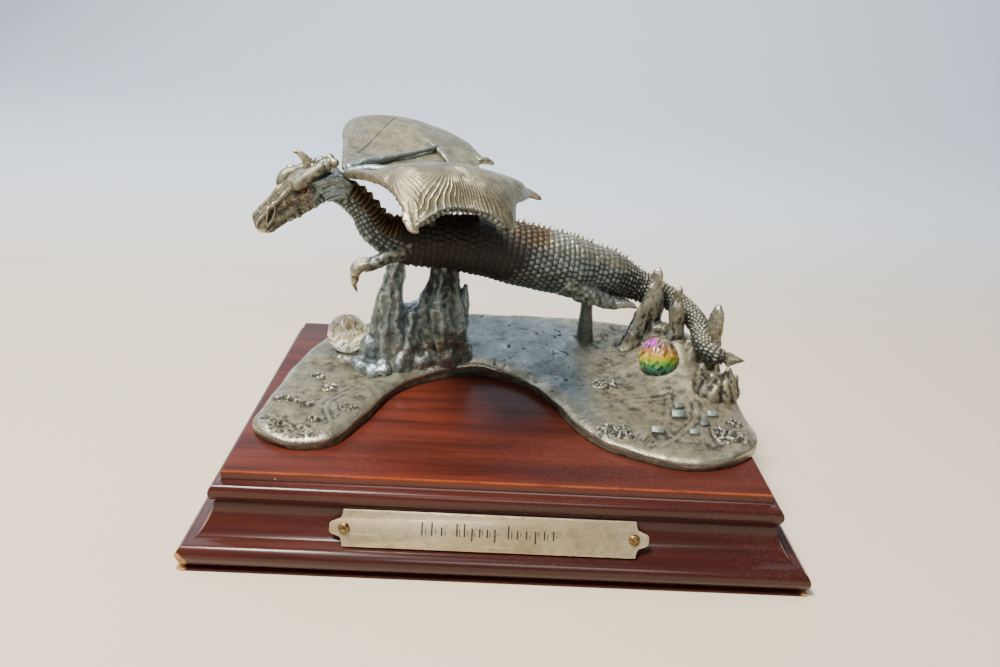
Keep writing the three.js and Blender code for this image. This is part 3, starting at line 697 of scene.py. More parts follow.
def clear_glass_material(colours):
    """Clear cut crystal with a straw tint; its facets are painted from dark to white as painted glints, and
    those over its lower half glow with painted sparks of gathered light.
    """
    material, n, shader, _ = start_material("clear_cut_glass")
    facet = n.add("ShaderNodeAttribute", attribute_name="facet").outputs["Fac"]
    rise = n.add("ShaderNodeAttribute", attribute_name="rise").outputs["Fac"]
    # Each facet is painted from dark brown to white: painted glints.
    tint = n.ramp(facet, [
        (0.0, (0.20, 0.15, 0.07)), (0.35, (0.48, 0.40, 0.26)), (0.75, tuple(colours.clear_glass)),
        (1.0, (1, 1, 1))
    ])
    n.link(tint, shader.inputs["Base Color"])
    # Painted glow: facets over the lower half give off painted sparks.
    low = n.math("MULTIPLY", n.span(rise, 0.60, 0.42), n.span(rise, 0.08, 0.25))
    painted_glint = n.ramp(facet, [
        (0.0, (0.02, 0.015, 0.004)), (0.40, (0.22, 0.18, 0.05)), (0.70, (0.70, 0.64, 0.26)),
        (0.95, (1.0, 1.0, 0.85))
    ])
    n.link(n.mix(low, (0.02, 0.016, 0.010), painted_glint), shader.inputs["Emission Color"])
    shader.inputs["Emission Strength"].default_value = 0.6
    shader.inputs["Transmission Weight"].default_value = 0.8
    shader.inputs["Roughness"].default_value = 0.03
    shader.inputs["IOR"].default_value = 1.5
    return material


def rainbow_glass_material():
    """Cut crystal whose coating runs through the rainbow from its crown to its foot."""
    material, n, shader, _ = start_material("rainbow_cut_glass")
    facet = n.add("ShaderNodeAttribute", attribute_name="facet").outputs["Fac"]
    rise = n.add("ShaderNodeAttribute", attribute_name="rise").outputs["Fac"]
    lean = n.add("ShaderNodeAttribute", attribute_name="lean").outputs["Fac"]
    mixed = n.math("ADD", rise, n.math("MULTIPLY", n.math("SUBTRACT", facet, 0.5), 0.10))
    bands = n.ramp(mixed, [
        (0.06, (0.015, 0.05, 0.06)),
        (0.18, (0.05, 0.30, 0.26)),
        (0.32, (0.13, 0.45, 0.06)),
        (0.45, (0.48, 0.52, 0.02)),
        (0.56, (0.62, 0.30, 0.02)),
        (0.68, (0.34, 0.16, 0.07)),
        (0.84, (0.22, 0.15, 0.13)),
    ])
    crown = n.math("MULTIPLY", n.span(mixed, 0.66, 0.86), n.span(lean, 0.52, 0.72))
    color = n.mix(crown, bands, (0.50, 0.03, 0.46))
    # Random facets are painted near-black and others pale gold: painted reflections and glints.
    color = n.mix(n.span(facet, 0.0, 0.5, 0.8, 0.0), color, (0.02, 0.02, 0.015))
    color = n.mix(n.span(facet, 0.86, 0.97, 0.0, 0.4), color, (0.85, 0.80, 0.40))
    n.link(color, shader.inputs["Base Color"])
    # The crystal glows faintly in its own colours: a painted glow.
    n.link(color, shader.inputs["Emission Color"])
    shader.inputs["Emission Strength"].default_value = 0.03
    shader.inputs["Transmission Weight"].default_value = 0.25
    shader.inputs["Roughness"].default_value = 0.10
    shader.inputs["IOR"].default_value = 1.4
    return material


def eye_material(colours):
    """Polished red stone."""
    material, n, shader, where = start_material("red_eye_stone")
    depth = n.noise(where, 900, 2)
    n.link(n.mix(depth, tuple(colours.eye_red), (0.05, 0.0, 0.0)), shader.inputs["Base Color"])
    shader.inputs["Roughness"].default_value = 0.12
    shader.inputs["Specular IOR Level"].default_value = 0.3
    return material


# Sizes and colours


def length(name, description, default):
    return FloatProperty(name=name, description=description, default=default, unit="LENGTH")


class DragonSizes(bpy.types.PropertyGroup):
    """Sizes of the finer relief."""

    scale_height: length("Scale height", "How far the body's scales stand up", 0.62 * MM)
    rib_height: length("Rib height", "How far the wing ribs stand up", 0.07 * MM)
    crest_height: length("Crest height", "Height of the spikes along the back", 1.9 * MM)
    wing_thickness: length("Wing thickness", "Thickness of the wing skin", 1.5 * MM)
    crystal_radius: length("Crystal radius", "Radius of the two crystals", 7.8 * MM)
    eye_radius: length("Eye radius", "Radius of the eye stones", 1.3 * MM)


def tint(name, description, default):
    return FloatVectorProperty(
        name=name, description=description, default=default, size=3, min=0, max=1, subtype="COLOR"
    )


class DragonColours(bpy.types.PropertyGroup):
    """Colours of the finishes."""

    pewter_tan: tint("Pewter tan", "Main colour of the casting", (0.365, 0.322, 0.190))
    pewter_olive: tint("Pewter olive", "Second colour of the casting", (0.212, 0.188, 0.118))
    pewter_blue: tint("Pewter blue", "Cool grey of rocks and flanks", (0.185, 0.248, 0.258))
    # pewter_brown also colours the painted shade under the wings and along their front edges.
    pewter_brown: tint("Pewter brown", "Warm tint of mane and wing hollows", (0.190, 0.108, 0.034))
    # pewter_worn and worn_blue also colour the painted highlights.
    pewter_worn: tint("Pewter worn", "Bright metal on rubbed points", (0.60, 0.555, 0.41))
    worn_blue: tint("Worn blue", "Rubbed high points of the blue-grey metal", (0.42, 0.51, 0.53))
    dirt: tint("Dirt", "Brown dirt mottled over the pewter", (0.070, 0.066, 0.044))
    # patina also colours the painted shade under the wings and on the rock beneath the chest.
    patina: tint("Patina", "Dark finish in the hollows", (0.010, 0.0095, 0.009))
    wood_red: tint("Mahogany red", "Light grain of the plinth", (0.112, 0.022, 0.012))
    wood_dark: tint("Mahogany dark", "Dark grain of the plinth", (0.040, 0.0090, 0.0062))
    wood_pore: tint("Mahogany pores", "Pores of the plinth", (0.012, 0.0035, 0.003))
    wood_side: tint("Mahogany mouldings", "Deeper stain on the mouldings", (0.028, 0.009, 0.0085))
    wood_edge: tint("Mahogany edge", "Thin lacquer on the front edge", (0.26, 0.055, 0.016))
    wood_bare: tint("Bare wood", "Wood where the lacquer is chipped", (0.42, 0.24, 0.09))
    plate_pale: tint("Plate pale", "Pale brass of the plate", (0.68, 0.56, 0.36))
    plate_gold: tint("Plate gold", "Warmer brass of the plate", (0.48, 0.38, 0.22))
    plate_brown: tint("Plate brown", "Age specks of the plate", (0.20, 0.145, 0.075))
    stroke: tint("Strokes", "Filling of the plate's strokes", (0.008, 0.008, 0.008))
    pin_dark: tint("Pin dark", "Dark brass of the pins", (0.085, 0.055, 0.022))
    pin_bright: tint("Pin bright", "Rubbed brass of the pins", (0.36, 0.24, 0.10))
    clear_glass: tint("Clear crystal", "Tint of the clear crystal", (0.97, 0.96, 0.86))
    eye_red: tint("Eye red", "Red of the eye stones", (0.09, 0.002, 0.002))
    floor: tint("Floor", "Pale studio floor", (0.69, 0.58, 0.43))
    backdrop: tint("Backdrop", "Cool white of the swept backdrop", (0.74, 0.80, 0.90))


# Plinth


# Half sizes of the top, the cove as offsets and heights, and chips as centre and size.
PLINTH_HALF = np.array((87.5, 62.5))
COVE_TOP, COVE_BEND, COVE_FOOT = (2.0, 19.2), (3.0, 12.6), (7.3, 8.8)
CHIPS = (((-101.2, -76.2, 2.6), 3.0), ((100.6, -75.6, 0.2), 1.5))


def bow(start, middle, end, t):
    """Runs from start to end as t goes from 0 to 1, pulled towards middle."""
    return start * (1 - t) ** 2 + middle * 2 * t * (1 - t) + end * t * t


def plinth_profile():
    """Offset out from the top's edge and height, from the foot up."""
    points = [(12.1, 0.0), (12.45, 0.5)]
    for a in np.linspace(-0.9, 1, 15):
        points.append((8.1 + 4.4 * math.cos(a * math.pi / 2), 4.5 + 4.0 * math.sin(a * math.pi / 2)))
    for t in np.linspace(1, 0, 14):
        points.append(tuple(bow(*ends, t) for ends in zip(COVE_TOP, COVE_BEND, COVE_FOOT)))
    for a in np.linspace(-1, 1, 17):
        points.append((1.6 + 1.9 * math.cos(a * math.pi / 2), 22.6 + 2.8 * math.sin(a * math.pi / 2)))
    return points + [(0.25, 25.75), (0.0, 26.1), (0.0, 28.55), (-0.12, 28.88), (-0.42, PLINTH_TOP)]


class DRAGON_OT_plinth(bpy.types.Operator):
    """Moulded mahogany plinth with chipped corners"""

    bl_idname = "dragon.plinth"
    bl_label = "Wooden plinth"

    def execute(self, context):
        profile = plinth_profile()
        begin()
        bpy.ops.mesh.primitive_plane_add(size=1)
        obj = bpy.context.object
        obj.name = "plinth_board"
        bpy.ops.object.mode_set(mode="EDIT")
        for _ in profile[1:]:
            bpy.ops.mesh.extrude_region_move(TRANSFORM_OT_translate={"value": (0, 0, 1)})
        bpy.ops.object.mode_set(mode="OBJECT")
        co = corners(obj)
        level = np.rint(co[:, 2]).astype(int)
        reach = np.array(profile)[level]
        half = PLINTH_HALF + reach[:, :1]
        place(obj, np.column_stack([np.sign(co[:, :2]) * half, reach[:, 1]]))
        face_out(obj)
        for number, (corner, size) in enumerate(CHIPS):
            cutter = blob("chip_cutter", corner, (size, size, size * 1.3), (0.5, 0, 0), 5 + number, 3, 0.3)
            cut = obj.modifiers.new("chip", "BOOLEAN")
            cut.operation = "DIFFERENCE"
            cut.solver = "MANIFOLD"
            cut.object = cutter
            apply_modifier(obj, cut)
            bpy.data.objects.remove(cutter)
        bevel(obj, 0.35, angle=60)
        obj.data.materials.clear()
        obj.data.materials.append(mahogany_material(context.scene.dragon_colours))
        focus(obj)
        bpy.ops.object.shade_smooth_by_angle(angle=math.radians(32))
        settle(obj, "wooden_plinth")
        return {"FINISHED"}


# Nameplate and pins


PLATE_THICK = 0.8
STROKE_THICK, STROKE_FOOT = 0.06, -1.35
# Groups of upright strokes: where each starts, its pitch and its strokes' kinds.
STROKE_ROW = ((-21.4, 3.1, "hhx"), (-10.4, 2.4, "hhqxxq"), (5.9, 2.85, "hxxqxx"))
# Low and high end of each kind of stroke.
STROKE_KINDS = {"h": (0.0, 4.1), "x": (0.0, 2.7), "q": (-1.3, 2.7)}
PIN_SIZE, PIN_SPACING = (1.8, 1.8, 1.1), 91.7


def plate_frame():
    """Matrix from the plate's flat frame to the row frame, in millimetres."""
    lean = math.atan2(COVE_FOOT[0] - COVE_TOP[0], COVE_TOP[1] - COVE_FOOT[1])
    middle = np.array((4.65, 14.0))
    clear, drop = 0.8, 0.4
    y = -(PLINTH_HALF[1] + middle[0] + math.cos(lean) * clear + math.sin(lean) * drop)
    z = middle[1] + math.sin(lean) * clear - math.cos(lean) * drop
    return Matrix.Translation((-2.2, y, z)) @ Matrix.Rotation(math.pi / 2 - lean, 4, "X")


def on_plate(points):
    """Points of the plate's flat frame, in the row frame."""
    matrix = plate_frame()
    return np.array([tuple(matrix @ Vector(p)) for p in points])


def plate_outline():
    """Outline of the plate: scooped corners and an ear at each end."""
    half, high, tip = 92.7 / 2, 5.8, 50.5
    scoop = []
    for t in np.linspace(0, 1, 9):
        scoop.append((bow(half, half + 0.28, half + 1.4, t), bow(high, 2.7, 2.7, t)))
    corner = scoop + [(tip - 0.5, 1.8), (tip, 1.2)]
    right = [(x, -y) for x, y in corner] + [(x, y) for x, y in reversed(corner)]
    return right + [(-x, -y) for x, y in right]


class DRAGON_OT_nameplate(bpy.types.Operator):
    """Brass plate with a row of plain strokes"""

    bl_idname = "dragon.nameplate"
    bl_label = "Nameplate"

    def execute(self, context):
        colours = context.scene.dragon_colours
        outline = plate_outline()
        begin()
        bpy.ops.mesh.primitive_circle_add(vertices=len(outline), radius=1, fill_type="NGON")
        obj = bpy.context.object
        obj.name = "brass_nameplate"
        bpy.ops.object.mode_set(mode="EDIT")
        bpy.ops.mesh.extrude_region_move(TRANSFORM_OT_translate={"value": (0, 0, 1)})
        bpy.ops.object.mode_set(mode="OBJECT")
        co = corners(obj)
        flat = np.zeros((len(co), 3))
        for top in (False, True):
            ring = [i for i in range(len(co)) if (co[i, 2] > 0.5) == top]
            ring.sort(key=lambda i: math.atan2(co[i, 1], co[i, 0]) % TAU)
            for k, i in enumerate(ring):
                flat[i] = (*outline[k], PLATE_THICK if top else 0.0)
        place(obj, flat)
        face_out(obj)
        bevel(obj, 0.14)
        obj.data.materials.append(plate_material(colours))
        obj.data.materials.append(stroke_material(colours))
        strokes = []
        for start, pitch, kinds in STROKE_ROW:
            for k, kind in enumerate(kinds):
                low, high = STROKE_KINDS[kind]
                strokes.append(self.stroke(start + pitch * k, 0.5, low, high))
                strokes.append(
                    self.stroke(start + pitch * (k + 0.36), 0.26, 0.9 * (k % 2), 2.6 - 0.5 * (k % 3))
                )
        for stroke in strokes:
            stroke.data.materials.append(obj.data.materials[0])
            stroke.data.materials.append(obj.data.materials[1])
            for face in stroke.data.polygons:
                face.material_index = 1
        obj = gather(obj.name, [obj, *strokes])
        place(obj, on_plate([v.co / MM for v in obj.data.vertices]))
        focus(obj)
        bpy.ops.object.shade_smooth_by_angle(angle=math.radians(30))
        settle(obj, "nameplate")
        return {"FINISHED"}

    def stroke(self, x, width, low, high):
        """One upright stroke, a little proud of the plate."""
        begin()
        bpy.ops.mesh.primitive_cube_add(size=1)
        obj = bpy.context.object
        obj.name = "stroke"
        co = corners(obj)
        y = STROKE_FOOT + low + (co[:, 1] + 0.5) * (high - low)
        place(obj, np.column_stack([x + co[:, 0] * width, y, PLATE_THICK + co[:, 2] * STROKE_THICK]))
        bevel(obj, 0.02, 1)
        return obj


class DRAGON_OT_pins(bpy.types.Operator):
    """Domed brass pins at the plate's ends"""

    bl_idname = "dragon.pins"
    bl_label = "Nameplate pins"

    def execute(self, context):
        material = pin_material(context.scene.dragon_colours)
        for side, word in ((-1, "left"), (1, "right")):
            begin()
            bpy.ops.mesh.primitive_uv_sphere_add(segments=32, ring_count=24, radius=1)
            obj = bpy.context.object
            obj.name = f"brass_pin_{word}"
            bpy.ops.object.mode_set(mode="EDIT")
            bpy.ops.mesh.select_all(action="SELECT")
            bpy.ops.mesh.bisect(plane_co=(0, 0, 0), plane_no=(0, 0, 1), use_fill=True, clear_inner=True)
            bpy.ops.object.mode_set(mode="OBJECT")
            co = corners(obj)
            dome = co * PIN_SIZE + (side * PIN_SPACING / 2, 0, PIN_SIZE[2])
            place(obj, on_plate(dome))
            obj.data.materials.append(material)
            focus(obj)
            bpy.ops.object.shade_smooth_by_angle(angle=math.radians(50))
            settle(obj, f"nameplate_pin_{word}")
        return {"FINISHED"}


# Landscape base


# Outline of the base in plan: the front with its bay, then the sides and the back.
BAY = (
    (-83.8, -37.3), (-69.1, -47.9), (-56.5, -44.9), (-48.3, -29), (-39.4, -4.9), (-27.1, 7.7), (-7.6, 15.3),
    (8.3, 7.9), (20.3, -9.4), (26.2, -24.2), (34.8, -37.4), (47.4, -45.4), (63.2, -50.3), (79.6, -45.2)
)
BACK = ((89.8, -34), (90.2, -10), (89, 14), (82, 36), (66, 52), (40, 59), (8, 60), (-24, 58), (-50, 50),
        (-68, 38), (-78.7, 16), (-82, -7), (-83.5, -24))
# Hills: x, y, half width, half depth, height.
HILLS = ((71, 22, 14, 19, 14), (79, -2, 9, 9, 4), (-33, 21, 17, 13, 3))
# Raised paths.
LEFT_PATH = (
    (-51.6, -6.3), (-57.6, -15), (-61.4, -21.9), (-61, -27.7), (-57.7, -35.8), (-57.3, -39.9),
    (-58.4, -44.9)
)
RIGHT_PATHS = (
    ((47.1, -10.8), (63.9, -6.2)),
    ((63.9, -6.2), (59, -29.2), (59.7, -34.7)),
    ((68.7, -25.3), (59.1, -37.7), (51.9, -44)),
    ((72.9, -12.1), (70.9, -22.1), (67.7, -26.9)),
)
# Round beds with petals: x, y, radius.
FANS = ((-74.6, -41.2, 4.4), (-67.3, -43.4, 4.6), (-61.8, -44.2, 3.0), (-80.2, -35.0, 3.0))
# Ploughed fields: x, y, half length, half width, turn.
FIELDS = (
    (54, -17, 6, 5, 0.5), (66, -40, 7, 4, 0.1), (50, -36, 4, 4, -0.4), (-66, -14, 6, 5, 0.9),
    (-71, -30, 5, 4, 0.3)
)
# Clumps of bushes: x, y, radius, seed.
CLUMPS = (
    (40, -33.5, 7.4, 31), (80, -33, 7.0, 57), (84.5, -24.5, 3.0, 61), (-54, -25, 3.6, 71),
    (-78, -20.8, 3.2, 83), (-69, -1.6, 3.4, 91), (-62.8, -10.6, 3.6, 97), (-67.1, -25.5, 2.0, 101),
    (-71.9, -22.3, 2.0, 105), (-64, -35, 2.8, 113), (40, 3, 5.0, 127), (-76, -37, 2.2, 137)
)
BUSH_HEIGHT = 1.5


def rim_curve(count):
    """Closed outline of the base in plan."""
    loop = np.array([*BAY, *BACK], float)
    size = len(loop)
    ring = np.concatenate([loop[-3:], loop, loop[:3]])
    ring = np.column_stack([ring, np.zeros(len(ring))])
    t = (np.arange(count) / count * size + 3) / (len(ring) - 1)
    return spline(ring, t)[:, :2]


def rim_distance(x, y, rim):
    """How far each place lies from the outline."""
    closed = [tuple(p) for p in rim] + [tuple(rim[0])]
    return path_distance(x, y, closed)


def inside(x, y, rim):
    """Whether each place lies within the outline."""
    hit = np.zeros(np.shape(x), bool)
    for (ax, ay), (bx, by) in zip(rim, np.roll(rim, -1, 0)):
        crosses = (ay > y) != (by > y)
        if by != ay:
            hit ^= crosses & (x < (bx - ax) * (y - ay) / (by - ay) + ax)
    return hit


def land_height(x, y, rim_away):
    """Height and finish of the landscape."""
    x, y = np.asarray(x, float), np.asarray(y, float)
    flat = np.stack([x, y, np.zeros_like(x)], -1)
    z = GROUND + 0.12 * np.maximum(0, y - 10) + 0.35 * np.sin(x * 0.31 + 1.3) * np.sin(y * 0.27 + 0.4)
    for cx, cy, sx, sy, high in HILLS:
        z = z + high * np.exp(-(((x - cx) / sx) ** 2) - ((y - cy) / sy) ** 2)
    left, right = smooth(-44, -50, x) * smooth(14, 4, y), smooth(34, 42, x) * smooth(6, -2, y)
    detail = 0.10 * noise(flat, 1.7, 3) + 0.28 * noise(flat, 5.0, 4) + 0.05 * noise(flat, 0.8, 5)
    relief = 0.45 + 0.08 * noise(flat, 1.9, 3) + 0.08 * noise(flat, 6.0, 8) + 0.05 * noise(flat, 0.9, 9)

    def ridge(points, high, wide):
        away = path_distance(x, y, points)
        crown = np.exp(-((away / wide) ** 2))
        shoulder = np.exp(-(((away - wide * 2.1) / wide) ** 2))
        return high * crown - 0.05 * shoulder, crown * 0.06 - shoulder * 0.07

    for points, high, wide in [(LEFT_PATH, 0.30, 0.55)] + [(p, 0.22, 0.7) for p in RIGHT_PATHS]:
        up, bright = ridge(points, high, wide)
        detail = detail + up
        relief = relief + bright
    for cx, cy, sx, sy, turn in FIELDS:
        u, v = swing(x - cx, y - cy, -turn)
        patch = smooth(1.0, 0.85, np.maximum(np.abs(u) / sx, np.abs(v) / sy))
        rows = np.cos(u * 4.6 + 0.6 * noise(flat, 2.0, 6))
        detail = detail + patch * (0.03 * rows - 0.08)
        relief = relief + patch * (0.02 * rows - 0.05)
    for cx, cy, radius in FANS:
        dx, dy = x - cx, y - cy
        away, turn = np.hypot(dx, dy), np.arctan2(dx, dy)
        inner = smooth(1.0, 0.8, away / radius)
        petals = np.cos(turn * 9 + 1.3) * inner * smooth(0.12, 0.4, away / radius)
        edge = np.exp(-(((away - radius * (0.86 + 0.12 * np.cos(turn * 5))) / 0.42) ** 2))
        detail = detail + 0.22 * petals + 0.5 * edge
        relief = relief + 0.22 * petals + 0.42 * edge - 0.12 * inner
    middle = smooth(-46, -30, x) * smooth(40, 26, x)
    pits = np.clip(noise(flat, 2.0, 21) - 0.72, 0, 1) * middle * 2.0
    detail = detail - pits * 0.9 - middle * 0.10 * noise(flat, 1.7, 3)
    relief = relief - pits * 0.35
    worn = (
        np.exp(-(((rim_away - 1.1) / 0.7) ** 2)) * (0.5 + 0.5 * noise(flat, 3.0, 12))
        * (0.35 + 0.65 * (left + right))
    )
    z = z + detail * smooth(0.2, 2.2, rim_away) - 1.3 * np.exp(-rim_away / 1.6)
    tone = tones(x.shape, np.clip(relief + 0.24 * worn, 0.02, 1))
    wood = np.zeros_like(x)
    for cx, cy, radius, seed in CLUMPS:
        spread = np.hypot((x - cx) / radius, (y - cy) / (0.75 * radius)) + 0.3 * noise(flat, 2.6, seed)
        wood = np.maximum(wood, smooth(1.05, 0.75, spread) * smooth(-0.45, -0.15, noise(flat, 2.2, seed + 1)))
    curl = 0.55 * ridged(flat, 1.5, 33) + 0.45 * ridged(flat, 0.85, 34)
    z = z + wood * BUSH_HEIGHT * (1.9 * curl - 0.7)
    tone[..., 0] = tone[..., 0] * (1 - wood) + wood * np.clip(1.9 * curl - 1.16, 0.02, 0.78)
    tone[..., 1] = 0.15 * right + 0.10 * left + 0.03
    tone[..., 2] = np.clip(middle * smooth(2.5, 7.0, rim_away) * 0.8 + 0.10 + 0.25 * wood, 0, 1)
    tone[..., 0] += 0.10 * middle - 0.04 * right * smooth(-24, -34, y)
    return z, tone


def land_top():
    """The landscape's slab: a fine triangle net over the outline, a rough wall and a flat underside."""
    rim = rim_curve(520)
    inward = np.roll(rim, -1, 0) - np.roll(rim, 1, 0)
    inward = np.column_stack([-inward[:, 1], inward[:, 0]])
    inward /= np.linalg.norm(inward, axis=1, keepdims=True)
    points = [tuple(p) for p in rim]
    for step in (0.5, 1.1, 1.9):
        points += [tuple(p) for p in rim + inward * step]
    pitch = 0.82
    xs, ys = np.arange(-90, 95, pitch), np.arange(-56, 64, pitch * 0.87)
    gx, gy = np.meshgrid(xs, ys)
    gx = gx + (np.arange(len(ys)) % 2)[:, None] * pitch / 2
    gx, gy = gx.ravel(), gy.ravel()
    keep = inside(gx, gy, rim)
    gx, gy = gx[keep], gy[keep]
    keep = rim_distance(gx, gy, rim) > 2.5
    gx, gy = gx[keep], gy[keep]
    for cx, cy, radius, _ in CLUMPS:
        open_land = np.hypot((gx - cx) / radius, (gy - cy) / (0.75 * radius)) > 1.3
        fine = np.arange(-1.3 * radius, 1.3 * radius, 0.34)
        fx, fy = (a.ravel() for a in np.meshgrid(fine + cx, fine * 0.75 + cy))
        near = (np.hypot((fx - cx) / radius, (fy - cy) / (0.75 * radius)) <= 1.3) & inside(fx, fy, rim)
        near &= rim_distance(fx, fy, rim) > 2.2
        gx, gy = np.concatenate([gx[open_land], fx[near]]), np.concatenate([gy[open_land], fy[near]])
    points += list(zip(gx, gy))
    count = len(rim)
    edges = [(i, (i + 1) % count) for i in range(count)]
    verts, _, faces, *_ = delaunay_2d_cdt([Vector(p) for p in points], edges, [], 1, 1e-5)
    flat = np.array([tuple(v) for v in verts])
    away = rim_distance(flat[:, 0], flat[:, 1], rim)
    z, tone = land_height(flat[:, 0], flat[:, 1], away)
    mesh = bpy.data.meshes.new("land")
    mesh.from_pydata([(x, y, 0) for x, y in flat], [], [tuple(f) for f in faces])
    obj = bpy.data.objects.new("land", mesh)
    bpy.context.scene.collection.objects.link(obj)
    place(obj, np.column_stack([flat, z]))
    paint(obj, tone)
    focus(obj)
    bpy.ops.object.mode_set(mode="EDIT")
    bpy.ops.mesh.select_all(action="SELECT")
    bpy.ops.mesh.normals_make_consistent(inside=False)
    bpy.ops.mesh.select_all(action="DESELECT")
    bpy.ops.mesh.select_mode(type="EDGE")
    bpy.ops.mesh.select_non_manifold(
        extend=False, use_boundary=True, use_wire=False, use_multi_face=False, use_non_contiguous=False,
        use_verts=False
    )
    for _ in range(5):
        bpy.ops.mesh.extrude_edges_move(TRANSFORM_OT_translate={"value": (0, 0, -0.9 * MM)})
    bpy.ops.mesh.edge_face_add()
    bpy.ops.mesh.select_all(action="SELECT")
    bpy.ops.mesh.normals_make_consistent(inside=False)
    bpy.ops.object.mode_set(mode="OBJECT")
    finish_wall(obj, len(flat), rim)
    return obj


def finish_wall(obj, top_count, rim):
    """Spreads the wall's rings down to the plinth and roughens them."""
    co = corners(obj) / MM
    wall = co[top_count:]
    order = np.arange(len(wall)) // len(rim)
    edge_z = wall[: len(rim), 2] + 0.9
    tops = np.tile(edge_z, int(order.max()) + 1)
    share = (order + 1) / (order.max() + 1)
    centre = np.array((0.0, 5.0))
    away = wall[:, :2] - centre
    away /= np.linalg.norm(away, axis=1, keepdims=True)
    z = tops * (1 - share) + PLINTH_TOP * share
    flat = np.column_stack([wall[:, :2], z])
    groove = noise(flat * (0.25, 0.25, 2.2), 1.3, 31)
    bulge = (0.28 * np.sin(share * math.pi) + 0.22 * groove) * np.sin(np.clip(share, 0, 1) * math.pi)
    wall[:, :2] += away * bulge[:, None]
    wall[:, 2] = z
    co[top_count:] = wall
    place(obj, co)
    values = read_tone(obj)
    values[top_count:, 0] = np.clip(0.56 - 0.5 * share**3 + 0.35 * groove, 0.03, 1)
    values[top_count:, 1] = 0.10
    values[top_count:, 2] = 0.25
    obj.data.attributes["tone"].data.foreach_set("color", values.ravel())


def spire(name, levels, rings, sides, ridges, seed, turn=0.0):
    """Rock with upright ridges: levels of x, y, z, half width, half depth."""
    data = np.asarray(levels, float)
    t = np.linspace(0, 1, rings)
    centre = spline(data[:, :3], t)
    span = t * (len(data) - 1)
    slot = np.minimum(span.astype(int), len(data) - 2)
    share = (span - slot)[:, None]
    size = data[slot, 3:] * (1 - share) + data[slot + 1, 3:] * share
    angle = np.arange(sides) / sides * TAU
    unit = np.stack([np.cos(angle), np.sin(angle)], -1)
    flow = np.stack([
        np.broadcast_to(np.cos(angle) * 6, (rings, sides)),
        np.broadcast_to(np.sin(angle) * 6, (rings, sides)),
        np.broadcast_to(centre[:, 2:3] * 0.22, (rings, sides))
    ], -1)
    coarse = noise(flow, 3.4, seed)
    bark = ridged(flow, 1.5, seed + 1)
    fine = noise(flow * (1, 1, 2.0), 0.7, seed + 2)
    waves = np.cos(angle[None] * ridges + math.pi + 0.7 * coarse)
    factor = 0.93 + 0.085 * waves + 0.10 * coarse + 0.10 * (bark - 0.6) + 0.03 * fine
    factor = factor * np.where(np.arange(rings) == rings - 1, 0.0, 1.0)[:, None]
    factor = factor * np.where(np.arange(rings) == rings - 2, 0.72, 1.0)[:, None]
    factor = factor * np.where(np.arange(rings) == 0, 0.0, 1.0)[:, None]
    local = unit[None] * size[:, None] * factor[..., None]
    x, y = swing(local[..., 0], local[..., 1], turn)
    z = np.broadcast_to(centre[:, None, 2], x.shape) + 0.25 * fine
    grid = np.stack([centre[:, None, 0] + x, centre[:, None, 1] + y, z], -1)
    return skin(name, grid, tones(x.shape))


def rock_finish(obj, seed, blue_low, blue_high, low, high):
    """Weathers a melted rock: runnels down its sides, pits, and cooler metal higher up."""
    co, normal = read_points(obj)
    stretched = co * (1, 1, 0.30) + 1.5 * noise(co, 6.0, seed + 7)[:, None]
    runnel = ridged(stretched, 3.2, seed) - 0.6
    lumps = noise(co, 6.5, seed + 1)
    slant = co @ np.array(((1.0, 0.0, 0.25), (0.0, 1.0, 0.0), (0.9, 0.0, 0.18)))
    crag = 1.1 * (ridged(slant, 3.4, seed + 8) - 0.6) * smooth(8, 2, co[:, 1]) * smooth(60, 70, co[:, 0])
    lift = (
        0.75 * runnel + 0.6 * lumps + 0.30 * noise(co, 2.0, seed + 2) + 0.12 * noise(co, 0.9, seed + 3)
        + crag
    )
    place(obj, co + normal * lift[:, None])
    rise = smooth(low, high, co[:, 2])
    tone = tones(
        (len(co),),
        0.42 + 0.16 * runnel + 0.08 * lumps + 0.12 * noise(co, 2.6, seed + 4)
        + 0.10 * noise(co, 1.2, seed + 9)
    )
    tone[:, 2] = np.clip(blue_low + (blue_high - blue_low) * rise + 0.35 * noise(co, 6.0, seed + 5), 0, 1)
    tone[:, 1] = np.clip(0.08 * noise(co, 7.0, seed + 6), 0, 1)
    paint(obj, tone)


# Lumps round the front rock's foot: x, y, height above ground, size, seed.
TOES = (
    (-49.2, 2.6, 1.4, (3.4, 3.6, 3.4), 2),
    (-44.8, 3.4, 1.6, (3.2, 3.2, 3.0), 6),
    (-40.2, 7.0, 1.2, (3.6, 3.0, 2.6), 9),
    (-53.5, 8.0, 1.0, (5.0, 5.2, 4.6), 4),
    (-50.5, 11.0, 6.0, (4.6, 4.6, 6.6), 5),
    (-31.5, 12.5, 2.2, (6.5, 4.4, 4.4), 7),
    (-22.0, 14.5, 4.0, (6.0, 4.4, 7.0), 8),
)


